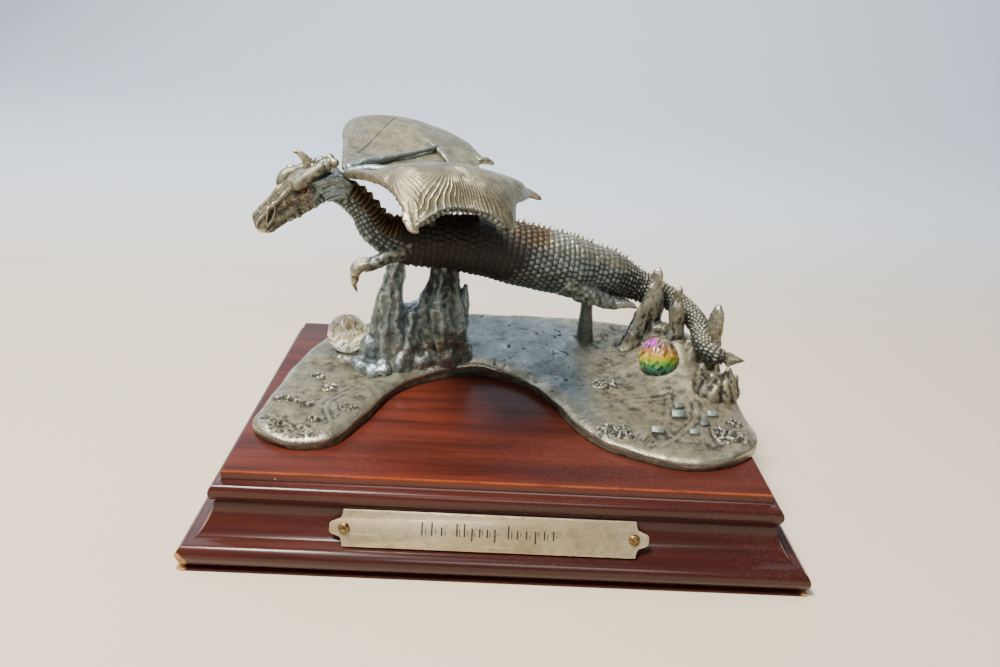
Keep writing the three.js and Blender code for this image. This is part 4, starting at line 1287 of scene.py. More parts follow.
def front_rock():
    """Rock under the chest: spread foot, two spires, toes and a spur, flowed together."""
    g = GROUND
    shells = [
        spire("foot", [
            (-36, 20, PLINTH_TOP + 1.5, 21, 15), (-36, 19, g + 2.5, 18.5, 12.5),
            (-35.5, 18.5, g + 9, 14, 9.5), (-34.5, 18, g + 17, 10.5, 7.5), (-33.5, 17, g + 25, 7, 5)
        ], 40, 96, 7, 3, math.radians(38)),
        spire("tall", [
            (-44.5, 12.5, g - 2, 11.5, 11), (-44, 12.5, g + 5, 9.4, 8.6), (-43.6, 12.2, g + 13, 7.6, 7),
            (-43.8, 11.8, g + 22, 5.8, 5.6), (-43.2, 11.4, g + 30, 4.9, 4.8), (-41.4, 11, g + 38, 3.8, 4.2),
            (-40.4, 10.8, g + 46, 3.2, 3.8)
        ], 50, 64, 5, 8),
        spire("broad", [
            (-22.5, 25, g - 2, 12.5, 12), (-23.5, 21, g + 8, 11.4, 10.6), (-24.2, 18.5, g + 18, 10.4, 9.6),
            (-24.2, 17.4, g + 28, 8.8, 8.4), (-23.5, 16.4, g + 36, 5.6, 5.8), (-22.8, 16, g + 45, 4.6, 4.8)
        ], 50, 64, 6, 15),
        spire("spur", [
            (-16.4, 18.4, g + 14, 4.2, 4.2), (-15.8, 18.4, g + 23, 2.4, 2.4),
            (-14.9, 18.4, g + 30, 1.7, 1.7), (-14.8, 18.4, g + 33.5, 0.9, 0.9)
        ], 24, 24, 3, 5),
    ]
    shells += [blob("toe", (x, y, g + z), size, (0.5, 0, 0), seed, 3, 0.1) for x, y, z, size, seed in TOES]
    rock = melt("front_rock", shells, 0.55, 6)
    rock_finish(rock, 140, 0.55, 0.95, GROUND + 2, GROUND + 14)
    rub(rock, 0.22, 0.22)
    co, _ = read_points(rock)
    values = read_tone(rock)
    # toe paints the front foot lighter: a painted highlight.
    toe = np.exp(
        -(((co[:, 0] + 47) / 4.5) ** 2) - ((co[:, 1] - 2) / 4) ** 2 - ((co[:, 2] - GROUND - 3) / 2.6) ** 2
    )
    tan = np.exp(-(((co[:, 2] - GROUND - 7) / 6) ** 2)) * smooth(-52, -40, co[:, 0])
    # crown and top are painted shade: the rock's upper part beneath the dragon's chest is painted darker.
    crown = smooth(GROUND + 24, GROUND + 38, co[:, 2]) * smooth(-34, -30, co[:, 0])
    top = smooth(GROUND + 26, GROUND + 42, co[:, 2])
    values[:, 0] += 0.20 + 0.08 * toe + 0.04 * tan - 0.46 * crown - 0.16 * top
    values[:, 2] = np.clip(values[:, 2] + 0.6, 0, 1) * (1 - 0.45 * tan)
    write_tone(rock, values)
    return [rock]


def rear_rock():
    """Rocks under the tail: three worn horns on the mound and a glossy low block in front."""
    g = GROUND
    shells = [
        spire("horn", [
            (56, 33.5, g - 2, 11, 9), (58.5, 32.5, g + 9, 7.4, 6.4), (61, 31, g + 22, 5.2, 4.6),
            (61.4, 30.2, g + 32, 3.0, 2.8), (61.6, 30, 71.2, 1.9, 1.8), (61.5, 30, 73.4, 0.9, 0.9)
        ], 50, 56, 4, 4),
        spire("horn", [
            (69.5, 21.5, g + 3, 6.2, 6), (69.7, 20.8, g + 19, 3.7, 3.4), (68.8, 20.2, g + 29, 2.7, 2.5),
            (68.6, 20, 67.6, 1.8, 1.7), (68.6, 20, 69.9, 0.9, 0.9)
        ], 46, 48, 4, 9),
        spire("horn", [
            (82.2, 11.6, g - 1, 6.2, 6), (82.6, 11.8, g + 19, 3.4, 3.2), (82.9, 12, g + 28, 2.5, 2.4),
            (82.7, 12, 64.2, 1.8, 1.8), (82.6, 12, 66.0, 0.9, 0.9)
        ], 46, 48, 3, 12),
        spire("shelf", [
            (63.5, 30, g - 2, 13, 9), (64, 29, g + 9, 9, 6.4), (65, 27, g + 18, 4.8, 3.8)
        ], 30, 60, 5, 17, -0.5),
        spire("shelf", [
            (77, 16, g - 2, 9, 9), (77, 16, g + 9, 6.4, 6), (77.4, 15.6, g + 16, 3.6, 3.4)
        ], 30, 50, 5, 18),
        spire("block", [
            (81.2, -4.5, g - 3, 9.4, 7.6), (81.2, -4.2, g + 4, 8.4, 6.6), (81.2, -3, g + 9, 5.8, 4.8)
        ], 30, 80, 9, 21),
        spire("point", [
            (75.8, -4.8, g, 4.0, 3.8), (75.6, -4.6, g + 8, 2.8, 2.6), (75.3, -4.3, 46.8, 1.6, 1.5),
            (75.2, -4.2, 48.6, 0.8, 0.8)
        ], 30, 36, 4, 25),
        spire("point", [
            (80.6, -7.4, g, 3.8, 3.2), (80.2, -6.8, g + 7, 2.6, 2.3), (79.6, -6, g + 11.5, 1.1, 1.1)
        ], 30, 36, 4, 27),
        spire("point", [
            (86, -5.4, g, 4.2, 3.8), (85.6, -5, g + 8, 2.8, 2.6), (85.0, -4.6, 46.0, 1.3, 1.3),
            (84.8, -4.5, 47.2, 0.7, 0.7)
        ], 30, 36, 4, 29),
        spire("point", [
            (89.2, -3.4, g, 2.6, 2.6), (88.9, -3.4, g + 6, 1.9, 1.9), (88.4, -3.4, g + 10, 1.0, 1.0)
        ], 24, 30, 4, 33),
    ]
    rock = melt("rear_rock", shells, 0.5, 4)
    rock_finish(rock, 160, 0.15, 0.15, 40, 60)
    co, _ = read_points(rock)
    values = read_tone(rock)
    for x, y, tip in ((61.5, 30, 73.4), (68.6, 20, 69.9), (82.6, 12, 66)):
        near = np.exp(-(((co[:, 0] - x) / 4) ** 2) - ((co[:, 1] - y) / 4) ** 2)
        values[:, 0] += 0.26 * near * smooth(tip - 13, tip - 2, co[:, 2])
    low = smooth(8, 2, co[:, 1])
    values[:, 2] = np.clip(values[:, 2] + 0.1 - 0.2 * low, 0, 1)
    values[:, 0] -= 0.08 + 0.12 * low
    write_tone(rock, values)
    rub(rock, 0.20, 0.20)
    return [rock]


def post():
    """Plain tapered prop under the hips."""
    limb = Tube([
        (36.4, 41, GROUND - 1, 4.6, 4.4), (35.9, 39, GROUND + 9, 3.4, 3.2),
        (35.3, 37, GROUND + 20, 2.6, 2.5), (35, 35, GROUND + 31, 2.2, 2.2)
    ], 50, 32)
    grit = noise(limb.grid(), 2.0, 44)
    return skin("post", limb.grid(0.15 * grit), tones(grit.shape, 0.36 + 0.10 * grit, 0.0, 0.75))


def land_z(x, y):
    """Height of the ground at one place."""
    x, y = np.array([float(x)]), np.array([float(y)])
    z, _ = land_height(x, y, rim_distance(x, y, rim_curve(200)))
    return float(z[0])


# Houses: x, y, turn, size. Their end wall runs across and up.
HOUSES = (
    (64.5, -21, 0.05, 1.15), (66.1, -14, 0.2, 0.85), (54.8, -32.9, -0.1, 0.95), (77.4, -19, -0.1, 0.9),
    (67.7, -33.1, 0, 0.8), (72.8, -26.2, 0.3, 0.8)
)
GABLE = ((-1.5, -2.0), (1.5, -2.0), (1.5, 0.8), (1.75, 0.75), (0, 2.05), (-1.75, 0.75), (-1.5, 0.8))
HOUSE_LENGTH, HOUSE_LIFT = 4.4, 0.35


def house(x, y, turn, size):
    """Gabled house: its end wall drawn flat and drawn out along the ridge."""
    begin()
    bpy.ops.mesh.primitive_circle_add(vertices=len(GABLE), radius=1, fill_type="NGON")
    obj = bpy.context.object
    obj.name = "house"
    bpy.ops.object.mode_set(mode="EDIT")
    bpy.ops.mesh.extrude_region_move(TRANSFORM_OT_translate={"value": (0, 0, 1)})
    bpy.ops.object.mode_set(mode="OBJECT")
    co = corners(obj)
    points = np.zeros((len(co), 3))
    for end in (0, 1):
        ring = [i for i in range(len(co)) if (co[i, 2] > 0.5) == bool(end)]
        for k, i in enumerate(sorted(ring, key=lambda i: math.atan2(co[i, 1], co[i, 0]))):
            points[i] = ((end - 0.5) * HOUSE_LENGTH, *GABLE[k])
    points *= size
    east, north = swing(points[:, 0], points[:, 1], turn)
    place(obj, np.column_stack([east + x, north + y, points[:, 2] + land_z(x, y) + HOUSE_LIFT]))
    face_out(obj)
    bevel(obj, 0.16)
    co = corners(obj) / MM
    rise = smooth(0.4, 2.0, co[:, 2] - land_z(x, y))
    paint(obj, tones((len(co),), 0.14 + 0.08 * rise, 0.02, 0.8))
    return obj


def seat(name, centre, radius):
    """Low cup that holds a crystal."""
    z = centre[2] - radius - 2.2
    profile = [
        (0.0, z), (radius + 0.6, z), (radius - 0.4, z + 1.6), (radius - 2.2, z + 3.0),
        (radius - 3.0, z + 3.5), (radius - 4.2, z + 2.8), (0.0, z + 2.0)
    ]
    angle = np.arange(72) / 72 * TAU
    fine = spline(np.array([(r, 0, h) for r, h in profile]), np.linspace(0, 1, 40))
    grid = np.stack([
        centre[0] + fine[:, :1] * np.cos(angle), centre[1] + fine[:, :1] * np.sin(angle),
        np.broadcast_to(fine[:, 2:3], (40, 72))
    ], -1)
    grit = noise(grid, 1.6, 77)
    grid = grid + outward(grid) * (0.2 * grit * smooth(0.5, 2, fine[:, :1]))[..., None]
    return skin(name, grid, tones(grit.shape, 0.42 + 0.3 * grit, 0.08, 0.35))


class DRAGON_OT_landscape(bpy.types.Operator):
    """Landscape base with post, village, bushes and crystal seats"""

    bl_idname = "dragon.landscape"
    bl_label = "Landscape"

    def execute(self, context):
        sizes = context.scene.dragon_sizes
        radius = sizes.crystal_radius / MM
        pieces = [
            land_top(), post(), seat("seat", CLEAR_CENTRE, radius), seat("seat", RAINBOW_CENTRE, radius)
        ]
        pieces += [house(*h) for h in HOUSES]
        obj = join("casting_landscape", pieces, pewter_material(context.scene.dragon_colours))
        rub(obj, 0.20, 0.22)
        settle(obj, "dragon_casting")
        return {"FINISHED"}


class DRAGON_OT_rocks(bpy.types.Operator):
    """Rocks under the chest and the tail"""

    bl_idname = "dragon.rocks"
    bl_label = "Rocks"

    def execute(self, context):
        obj = join("casting_rocks", front_rock() + rear_rock(), pewter_material(context.scene.dragon_colours))
        settle(obj, "dragon_casting")
        return {"FINISHED"}


# Dragon


# Body from neck to tail: x, y, z, half height, half width.
BACKBONE = [
    *[
        (*on_dragon((x, 0, z)), high, wide)
        for x, z, high, wide in (
            (-27, 107.2, 5.2, 4.4), (-18.5, 103.8, 4.7, 4.3), (-11.6, 97.2, 4.6, 4.4),
            (-6.2, 89.4, 5.9, 5.4), (3.6, 84.8, 8.4, 7.8), (17.4, 84.2, 10, 9.2), (33.1, 82.2, 11, 10.2),
            (49.4, 78.2, 12, 10.8), (66.4, 73.8, 12, 10.6), (84, 70.4, 9, 8.4)
        )
    ],
    (56.9, 39, 62.5, 5.8, 5.6), (69.7, 36, 58.6, 4.2, 4.2), (78.3, 21, 54.0, 3.7, 3.7),
    (77.9, 8.5, 50.5, 3.4, 3.4), (81.3, 2, 49.2, 3.0, 3.0), (85.8, 0, 48.6, 2.0, 2.0),
]
SCALE_PITCH = (1.7, 1.75, 2.4)


def trunk(scale_height):
    """Neck, trunk and tail in one scaled limb; also returns it for the crest to stand on."""
    sides, rings = 140, 600
    limb = Tube(BACKBONE, rings, sides, blunt=2.0)
    girth = (limb.high + limb.wide) / 2
    pitch = np.interp(girth, (2.5, 5, 11), SCALE_PITCH)
    phase = np.concatenate([[0], np.cumsum(np.diff(limb.along) / pitch[1:])])
    row = np.floor(phase).astype(int)
    middle = np.interp(np.arange(row.max() + 1) + 0.5, phase, girth)
    round_row = np.maximum(10, np.rint(TAU * middle / (0.9 * np.interp(middle, (2.5, 5, 11), SCALE_PITCH))))
    across = limb.angle[None] / TAU * round_row[row][:, None] + 0.5 * (row % 2)[:, None]
    column = np.floor(across).astype(int)
    fx = across - column
    fy = np.broadcast_to((phase - row)[:, None], fx.shape)
    dome = np.sin(np.pi * fx) ** 0.7 * np.sin(np.pi * fy**1.25) ** 0.7
    size = 0.78 + 0.22 * chance(np.broadcast_to(row[:, None], column.shape), column, 0, 3)
    up = np.sin(limb.angle)[None]
    belly = smooth(-0.72, -0.90, up)
    height = dome * size * (1 - belly) + belly * (1.5 * fy - 0.2)
    neck = smooth(46, 30, limb.along)[:, None]
    back = smooth(-0.05, 0.40, up)
    ribs = neck * back
    rib = np.cos(phase * TAU)[:, None]
    rough = 1 + 0.9 * smooth(120, 145, limb.along)[:, None]
    lift = scale_height * (pitch / 2.35)[:, None] * height * rough * (1 - 0.8 * ribs) + 0.3 * rib * ribs
    # Painted shadow: shade covers the body under the wings, painted near-black and brown as the wings' cast
    # shadow; reach slants its rear end like the shadow's edge.
    reach = limb.along[:, None] - 4.5 * up
    shade = smooth(31, 44, limb.along)[:, None] * smooth(92, 78, reach + 4 * noise(limb.grid(), 6, 31))
    saddle = smooth(0.35, 0.85, up) * smooth(70, 76, reach) * smooth(94, 85, reach)
    # Here the painted shadow darkens the scales, less under the brown saddle; the last term paints the top
    # just behind it lighter, a painted highlight from the light above.
    relief = (
        (0.34 + 0.18 * height) * (1 - ribs) + ribs * (0.30 + 0.10 * rib) - 0.64 * shade * (1 - 0.6 * saddle)
        + 0.6 * (size - 0.89) * (1 - ribs) * (1 - shade)
        + 0.30 * smooth(0.2, 0.9, up) * smooth(84, 96, reach)
    )
    warm = np.clip(ribs * 0.9 + saddle, 0, 1)
    tail = smooth(118, 140, limb.along)[:, None]
    cool = 0.85 * smooth(0.75, -0.05, up) * (1 - tail * 0.65) + 0.3 * neck + 0.25
    tone = tones(height.shape, relief - 0.34 * tail - 0.10 * neck)
    # The painted shadow is warmed brown here.
    tone[..., 1] = np.clip(warm + 0.3 * shade, 0, 1)
    tone[..., 2] = np.clip(cool, 0, 1) * (1 - tone[..., 1])
    return limb, skin("trunk", limb.grid(lift), tone)


def crest(limb, height):
    """Row of flat spikes from behind the mane to the tail."""
    made = []
    at = 34.0
    while at < limb.length - 10:
        i = int(np.searchsorted(limb.along, at))
        grow = (
            height * (0.4 + 0.6 * min(1.0, limb.high[i] / 9)) * (0.85 + 0.2 * chance(int(at * 10), 1, 2, 3))
        )
        ahead = limb.centre[min(i + 3, len(limb.centre) - 1)] - limb.centre[max(i - 3, 0)]
        ahead /= np.linalg.norm(ahead)
        foot = limb.centre[i] + limb.up[i] * (limb.high[i] - 0.5)
        tip = foot + limb.up[i] * (grow + 0.5) + ahead * grow * 0.55
        warm = float(smooth(104, 80, at))
        made.append(
            thorn(
                "crest", foot, tip, grow * 0.7, (0.50, 0.8 * warm, 0.1), 6,
                foot + limb.up[i] * grow * 0.5 + ahead * grow * 0.12, 0.55
            )
        )
        at += 1.25 * grow
    return made


def mane(limb):
    """Toothed fin standing on the nape, cross-ribbed."""
    rows, columns = 260, 18
    at = np.linspace(8, 50, rows)
    i = np.searchsorted(limb.along, at)
    tooth = np.abs((at / 3.1) % 1 - 0.35)
    tooth = np.where((at / 3.1) % 1 < 0.35, tooth / 0.35, tooth / 0.65)
    tall = (0.9 + 1.3 * (1 - tooth)) * smooth(6, 16, at) * smooth(52, 42, at)
    share = np.linspace(0, 1, columns)
    foot = limb.centre[i] + limb.up[i] * (limb.high[i] - 1.6)[:, None]
    middle = foot[:, None] + limb.up[i][:, None] * ((tall + 1.6)[:, None] * share)[..., None]
    rib = np.cos(TAU * (at[:, None] / 1.25 + 1.1 * share[None])) * (0.7 + 0.3 * np.cos(TAU * share[None] * 4))
    thick = (1.5 * (1 - share) ** 0.8 + 0.28)[None] * np.ones((rows, 1)) + 0.10 * rib
    thick = thick * smooth(0, 2, np.minimum(at - at[0], at[-1] - at))[:, None]
    across = limb.side[i][:, None] * thick[..., None]
    grid = np.concatenate([middle + across, (middle - across)[:, ::-1]], axis=1)
    relief = 0.42 + 0.06 * rib + 0.10 * share[None]
    tone = tones((rows, columns), relief, 0.85, 0.0)
    tone[..., 1] *= smooth(10, 18, at)[:, None]
    made = skin("mane", grid, np.concatenate([tone, tone[:, ::-1]], axis=1))
    face_out(made)
    return made


def tail_barb():
    """Flat kite at the tail's end."""
    t = np.linspace(0, 1, 40)
    x = -1.2 + 8.8 * t
    half = np.interp(x, (-1.2, 1, 7.6), (0.15, 3.1, 0.1))
    angle = np.arange(28) / 28 * TAU
    thick = 0.9 * np.minimum(1, half / 1.2)
    grid = np.stack([
        np.broadcast_to(x[:, None], (40, 28)), half[:, None] * np.cos(angle),
        thick[:, None] * np.sin(angle) * (1 - 0.5 * np.abs(np.cos(angle)))
    ], -1)
    grid[0] = grid[0].mean(0)
    grid[-1] = grid[-1].mean(0)
    y, z = swing(grid[..., 1], grid[..., 2], math.pi / 3)
    x, y = swing(grid[..., 0], y, -0.18)
    placed = np.stack([x + 84.6, y + 0.2, z + 48.4], -1)
    relief = 0.16 + 0.12 * np.abs(np.cos(angle))[None] * np.ones((40, 1))
    return skin("barb", placed, tones(relief.shape, relief, 0.2, 0.2))


def limb_skin(name, stations, rings, sides, relief, warm, blue, blunt=1.0, grit=0.0, seed=0):
    """Plain limb in the dragon's frame: x, y, z, half height, half width; painted lighter along its top, as
    painted light from above.
    """
    limb = Tube([
        (*on_dragon(p[:3]), p[3], p[4] if len(p) > 4 else p[3]) for p in stations
    ], rings, sides, blunt=blunt)
    rough = noise(limb.grid(), 1.5, seed)
    # The top is painted lighter and the underside darker: painted light from above.
    shade = tones(rough.shape, relief + 0.10 * np.sin(limb.angle)[None] + 0.14 * rough, warm, blue)
    return skin(name, limb.grid(grit * rough), shade)


def skull():
    """Long muzzle on a deep skull with ridges down the nose, slit nostrils and a lipped mouth."""
    spine = [
        (-18, 107.4, 4.4, 4.0), (-25, 107.2, 6.4, 5.0), (-31.5, 104.2, 7.2, 5.0), (-36.5, 100.2, 6.2, 4.0),
        (-41, 96.8, 5.0, 3.3), (-45.2, 93.2, 4.5, 3.3), (-48.4, 90.2, 2.9, 2.8)
    ]
    rings, sides = 170, 128
    limb = Tube([(*on_dragon((x, 0, z)), h, w) for x, z, h, w in spine], rings, sides, blunt=3.0)
    up, cos = np.sin(limb.angle)[None], np.abs(np.cos(limb.angle))[None]
    far = limb.along[:, None] / limb.length
    muzzle = smooth(0.42, 0.60, far) * smooth(1.0, 0.93, far)
    ridges = (
        np.exp(-((cos / 0.13) ** 2)) * (up > 0) + np.exp(-(((up - 0.62 + 0.2 * (far - 0.6)) / 0.10) ** 2))
    )
    slit_u, slit_v = (far - 0.79) / 0.055, (up - 0.26 + (far - 0.79) * 4.0) / 0.16
    nostril = np.exp(-(slit_u**2) - slit_v**2)
    wing = np.exp(-((np.hypot(slit_u, slit_v) - 1.5) ** 2) / 0.16)
    mouth = np.exp(-(((up + 0.42) / 0.07) ** 2)) * smooth(0.80, 0.88, far)
    lips = np.exp(-(((up + 0.42) / 0.22) ** 2)) * smooth(0.82, 0.92, far)
    teeth = lips * np.cos(far * 150) * smooth(0.86, 0.9, far)
    folds = np.cos(up * 8 + far * 30) * smooth(0.40, 0.20, far) * smooth(0.8, 0.4, up)
    socket = np.exp(-(((far - 0.40) / 0.09) ** 2) - ((up - 0.36) / 0.24) ** 2)
    wrinkle = noise(limb.grid(), 2.0, 51) + 0.5 * noise(limb.grid(), 0.9, 52)
    jaw = (
        np.exp(-(((up + 0.80) / 0.16) ** 2)) * np.clip(np.cos(far * 62 + 1), 0, 1) * smooth(0.16, 0.3, far)
        * smooth(0.86, 0.7, far)
    )
    hollow = np.exp(-(((up + 0.05) / 0.34) ** 2)) * smooth(0.50, 0.62, far) * smooth(0.80, 0.70, far)
    lift = (
        0.85 * ridges * muzzle - 1.2 * nostril + 0.5 * wing * muzzle - 0.45 * mouth + 0.30 * lips
        + 0.12 * teeth
    )
    lift = lift + 0.45 * folds + 0.16 * wrinkle + 0.9 * jaw - 0.7 * hollow - 0.9 * socket
    relief = (
        0.30 + 0.36 * ridges * muzzle + 0.12 * wing * muzzle - 0.45 * nostril - 0.25 * mouth + 0.12 * teeth
        + 0.10 * folds + 0.05 * wrinkle - 0.45 * socket - 0.08 * hollow
    )
    blue = np.clip(smooth(0.44, 0.24, far) * 0.9 + 0.35 * smooth(0.1, -0.6, up) + 0.6 * socket, 0, 1)
    tone = tones(lift.shape, np.clip(relief, 0.02, 1), 0.02)
    tone[..., 2] = blue
    return skin("skull", limb.grid(lift), tone)


def head():
    """Skull, brow rolls, curled horn, beaded poll, folds behind the eyes and bumps along the jaw."""
    made = [skull()]
    near_roll = [
        (-36.0, -4.5, 105.6, 1.5), (-34.6, -4.8, 107.0, 2.3), (-31.5, -5.0, 109.2, 2.45),
        (-27.5, -5.3, 112.0, 2.3), (-24.2, -5.8, 113.8, 2.0), (-22.6, -6.1, 114.6, 1.7)
    ]
    far_roll = [
        (-38.6, 4.0, 103.4, 1.5), (-39.0, 4.6, 106.0, 2.2), (-37.6, 4.8, 108.6, 2.2),
        (-34.0, 4.8, 110.0, 2.0), (-29.0, 5.2, 111.6, 2.0), (-23.0, 6.0, 114.0, 1.6)
    ]
    for roll in (near_roll, far_roll):
        # The brow rolls are toned dark, partly as painted shade cast by the horn.
        made.append(limb_skin("brow", roll, 48, 30, 0.06, 0.0, 0.25, 1.8, 0.12, 60))
        x, y, z, r = roll[-1]
        made.append(
            blob(
                "brow_end", on_dragon((x + 0.9, y, z + 0.4)), (r, r, r * 0.95), (0.22, 0.45, 0), 9, 3, 0.08
            )
        )
    made.append(
        blob("brow_bead", on_dragon((-34.9, -6.0, 107.2)), (1.0, 1.0, 1.0), (0.48, 0, 0.2), 3, 2, 0.1)
    )
    made.append(
        blob("brow_curl", on_dragon((-35.6, 5.4, 111.0)), (1.9, 1.5, 1.4), (0.52, 0.35, 0), 4, 3, 0.12)
    )
    for side in (-1, 1):
        for k in range(8):
            sway, drop = 0.8 * chance(k, 3, 5, 7), 0.85 * k
            lock = [
                (-29.5 + 0.7 * k, 4.5, 107.4 - drop, 0.6),
                (-25 + 0.5 * k, 5.0 + 0.2 * sway, 109.0 - drop + sway, 1.05),
                (-20 + 0.3 * k, 4.6, 109.6 - 1.2 * drop - 0.6 * sway, 0.95),
                (-15 - 0.4 * k, 4.5, 106.4 - drop + 0.7 * sway, 0.3)
            ]
            path = [(x, side * y, z, r) for x, y, z, r in lock]
            made.append(limb_skin("lock", path, 34, 12, 0.16 + 0.10 * sway, 0.0, 0.9, 0.8, 0.2, 61 + k))
        made.append(
            blob("nose", on_dragon((-46.4, side * 2.0, 91.0)), (1.5, 1.2, 1.3), (0.50, 0, 0), 5, 3, 0.2)
        )
        for k, (x, z, r) in enumerate(
            ((-36.6, 94.6, 0.9), (-32.6, 97.6, 0.95), (-27.6, 100.6, 1.1), (-24.6, 101.8, 1.0))
        ):
            made.append(
                blob(
                    "jaw_bump", on_dragon((x, side * 2.0, z)), (r, r, r * 1.1), (0.20, 0, 0.7), 12 + k, 2,
                    0.25
                )
            )
    horn = [
        (-29.0, 0, 110.6, 2.4, 1.9), (-29.9, 0, 113.4, 2.0, 1.6), (-31.1, 0, 115.4, 1.5, 1.3),
        (-32.6, 0, 116.9, 1.1, 1.0), (-34.0, 0, 117.6, 0.75, 0.7), (-35.2, 0, 117.5, 0.3, 0.3)
    ]
    made.append(limb_skin("horn", horn, 44, 20, 0.44, 0.05, 0.0, 0.5, 0.05, 64))
    for k in range(24):
        x, y = -29.4 + 0.34 * k, 1.5 * math.sin(k * 2.4)
        z = 113.8 + 0.8 * math.cos(k * 1.7) - 0.25 * abs(y)
        made.append(blob("poll", on_dragon((x, y, z)), (0.85, 0.8, 1.25), (0.14, 0.05, 0.5), 20 + k, 2, 0.3))
    return made


# Near and far foreleg in the dragon's frame: x, y, z, half height, half width.
FORELEGS = (
    [
        (9, -3.0, 86, 4.6, 4.2), (2, -5.6, 83, 3.6, 3.2), (-3.6, -6.4, 80.6, 2.6, 2.5),
        (-9, -6.6, 78.4, 2.5, 3.4), (-13.0, -6.6, 77.2, 1.9, 3.5)
    ],
    [(6, 4.6, 85, 4, 4), (1.5, 6.4, 78.5, 2.6, 2.6), (0.2, 6.2, 73.5, 2, 2.4), (0.5, 5.6, 68.5, 1.2, 2.4)],
)


def legs():
    """Near foreleg with hanging claws, far one gripping the rock, hind legs under the tail's root."""
    made = [limb_skin("foreleg", path, 64, 44, 0.16, 0.0, 0.6, 1.6, 0.3, 70) for path in FORELEGS]
    for finger in (-1, 0, 1):
        y = -6.6 + 2.35 * finger
        near = [
            (-9.6, y, 78.6, 1.7, 1.3), (-13.0, y, 78.2, 1.8, 1.35), (-15.2, y, 76.0, 1.7, 1.3),
            (-15.4, y, 73.6, 1.25, 1.0), (-15.8, y, 71.6, 0.9, 0.8),
            (-14.6, y, 68.9 + 0.6 * finger, 0.2, 0.2)
        ]
        made.append(limb_skin("fore_claw", near, 40, 18, 0.18, 0.02, 0.10, 0.8, 0.08, 71))
        x = 0.3 + 1.9 * finger
        far = [(x, 6.2, 70.5, 1.2), (x * 1.15, 6.0, 67.5, 1.1), (x * 1.3, 5.2, 63.6, 0.25)]
        made.append(limb_skin("fore_claw", far, 24, 12, 0.5, 0.04, 0.3, 0.8))
    for side in (-1, 1):
        y = 6.0 * side
        hind = [
            (66, 4.6 * side, 69, 6.4, 5.2), (75, 5.7 * side, 63.6, 4.8, 4.0), (83, y, 60.0, 3.6, 3.2),
            (88, y, 58.2, 3.0, 3.0), (92, y, 57.6, 2.0, 2.9)
        ]
        made.append(limb_skin("hindleg", hind, 76, 48, 0.42, 0.0, 0.8, 1.8, 0.5, 72))
        for toe in (-1, 0, 1):
            ty = y + 2.1 * toe
            path = [
                (88.6, ty, 57.8, 1.8, 1.35), (92.5, ty + 0.3 * toe, 57.9, 1.6, 1.2),
                (96, ty + 0.6 * toe, 57.2, 1.0, 0.9), (98.8, ty + 0.7 * toe, 56.8 - abs(toe), 0.2, 0.2)
            ]
            made.append(limb_skin("toe", path, 32, 14, 0.48, 0.0, 0.5, 0.8, 0.1, 73))
    return made


class DRAGON_OT_body(bpy.types.Operator):
    """Dragon's trunk, crest and tail"""

    bl_idname = "dragon.body"
    bl_label = "Dragon body"

    def execute(self, context):
        sizes = context.scene.dragon_sizes
        limb, body = trunk(sizes.scale_height / MM)
        pieces = [body, mane(limb), *crest(limb, sizes.crest_height / MM), tail_barb()]
        obj = join("casting_body", pieces, pewter_material(context.scene.dragon_colours))
        rub(obj, 0.28, 0.10)
        settle(obj, "dragon_casting")
        return {"FINISHED"}


class DRAGON_OT_head(bpy.types.Operator):
    """Dragon's head and legs"""

    bl_idname = "dragon.head"
    bl_label = "Head and legs"

    def execute(self, context):
        obj = join("casting_head", head() + legs(), pewter_material(context.scene.dragon_colours))
        rub(obj, 0.26, 0.32)
        settle(obj, "dragon_casting")
        return {"FINISHED"}


# Wings


# One wing in the dragon's frame: rows from front to rear, points from the back outwards.
WING_ROWS = np.array([
    ((-18, 0, 110.6), (-14, 25, 115.8), (-11.6, 48.5, 118.4), (-8.6, 61, 115.4), (-6, 67.8, 107.6)),
    ((-11.6, 0, 109.8), (-9.5, 22, 114.8), (-8.6, 48, 120.9), (-5.0, 59, 118.6), (-1.8, 65.9, 110.4)),
    ((-3.2, 0, 108.4), (-2.2, 21, 114.7), (0, 47.7, 122.3), (2.4, 56.8, 120.2), (5.0, 62.6, 112.6)),
    ((5.3, 0, 106.4), (8.5, 22, 115.2), (9.5, 47.7, 122.1), (11.5, 55.0, 119.2), (14.0, 59.6, 111.2)),
    ((12.7, 0, 104.4), (15.9, 22, 115), (16.5, 46.6, 121), (18, 54.8, 117.0), (19.6, 59.2, 109.4)),
    ((19, 0, 102), (22.3, 22, 113.6), (23.3, 45.6, 118.9), (25.5, 54, 113.2), (26.5, 58.3, 104.6)),
    ((24.4, 0, 98.8), (27.6, 21, 110.4), (29.7, 41.3, 116.8), (29.9, 46.5, 114.2), (29.7, 49.8, 110.1)),
    ((28.6, 0, 96.4), (31.8, 19, 107.8), (35.3, 37, 114.2), (34.6, 41.5, 112.6), (33.3, 44.5, 110)),
    ((31.8, 0, 94), (34.5, 14, 103), (39, 25, 109.6), (41.6, 27.4, 109), (43, 28.6, 108)),
], float)


def wing_net(rows, half):
    """Middle surface of both wings, from the left edge over the back to the right edge."""
    share = np.linspace(0, 1, half + 1)
    back = np.linspace(0, 1, rows)
    right = spline(np.stack([spline(row, share) for row in WING_ROWS]), back)
    middle = np.concatenate([(right * (1, -1, 1))[:, :0:-1], right], axis=1)
    out = np.concatenate([share[:0:-1], share])[None] * np.ones((rows, 1))
    return middle, out, back[:, None] * np.ones_like(out)


def comb(phase, wide):
    """Narrow ridges, one for every whole number of phase."""
    return np.exp(-(((phase - np.rint(phase)) / wide) ** 2))


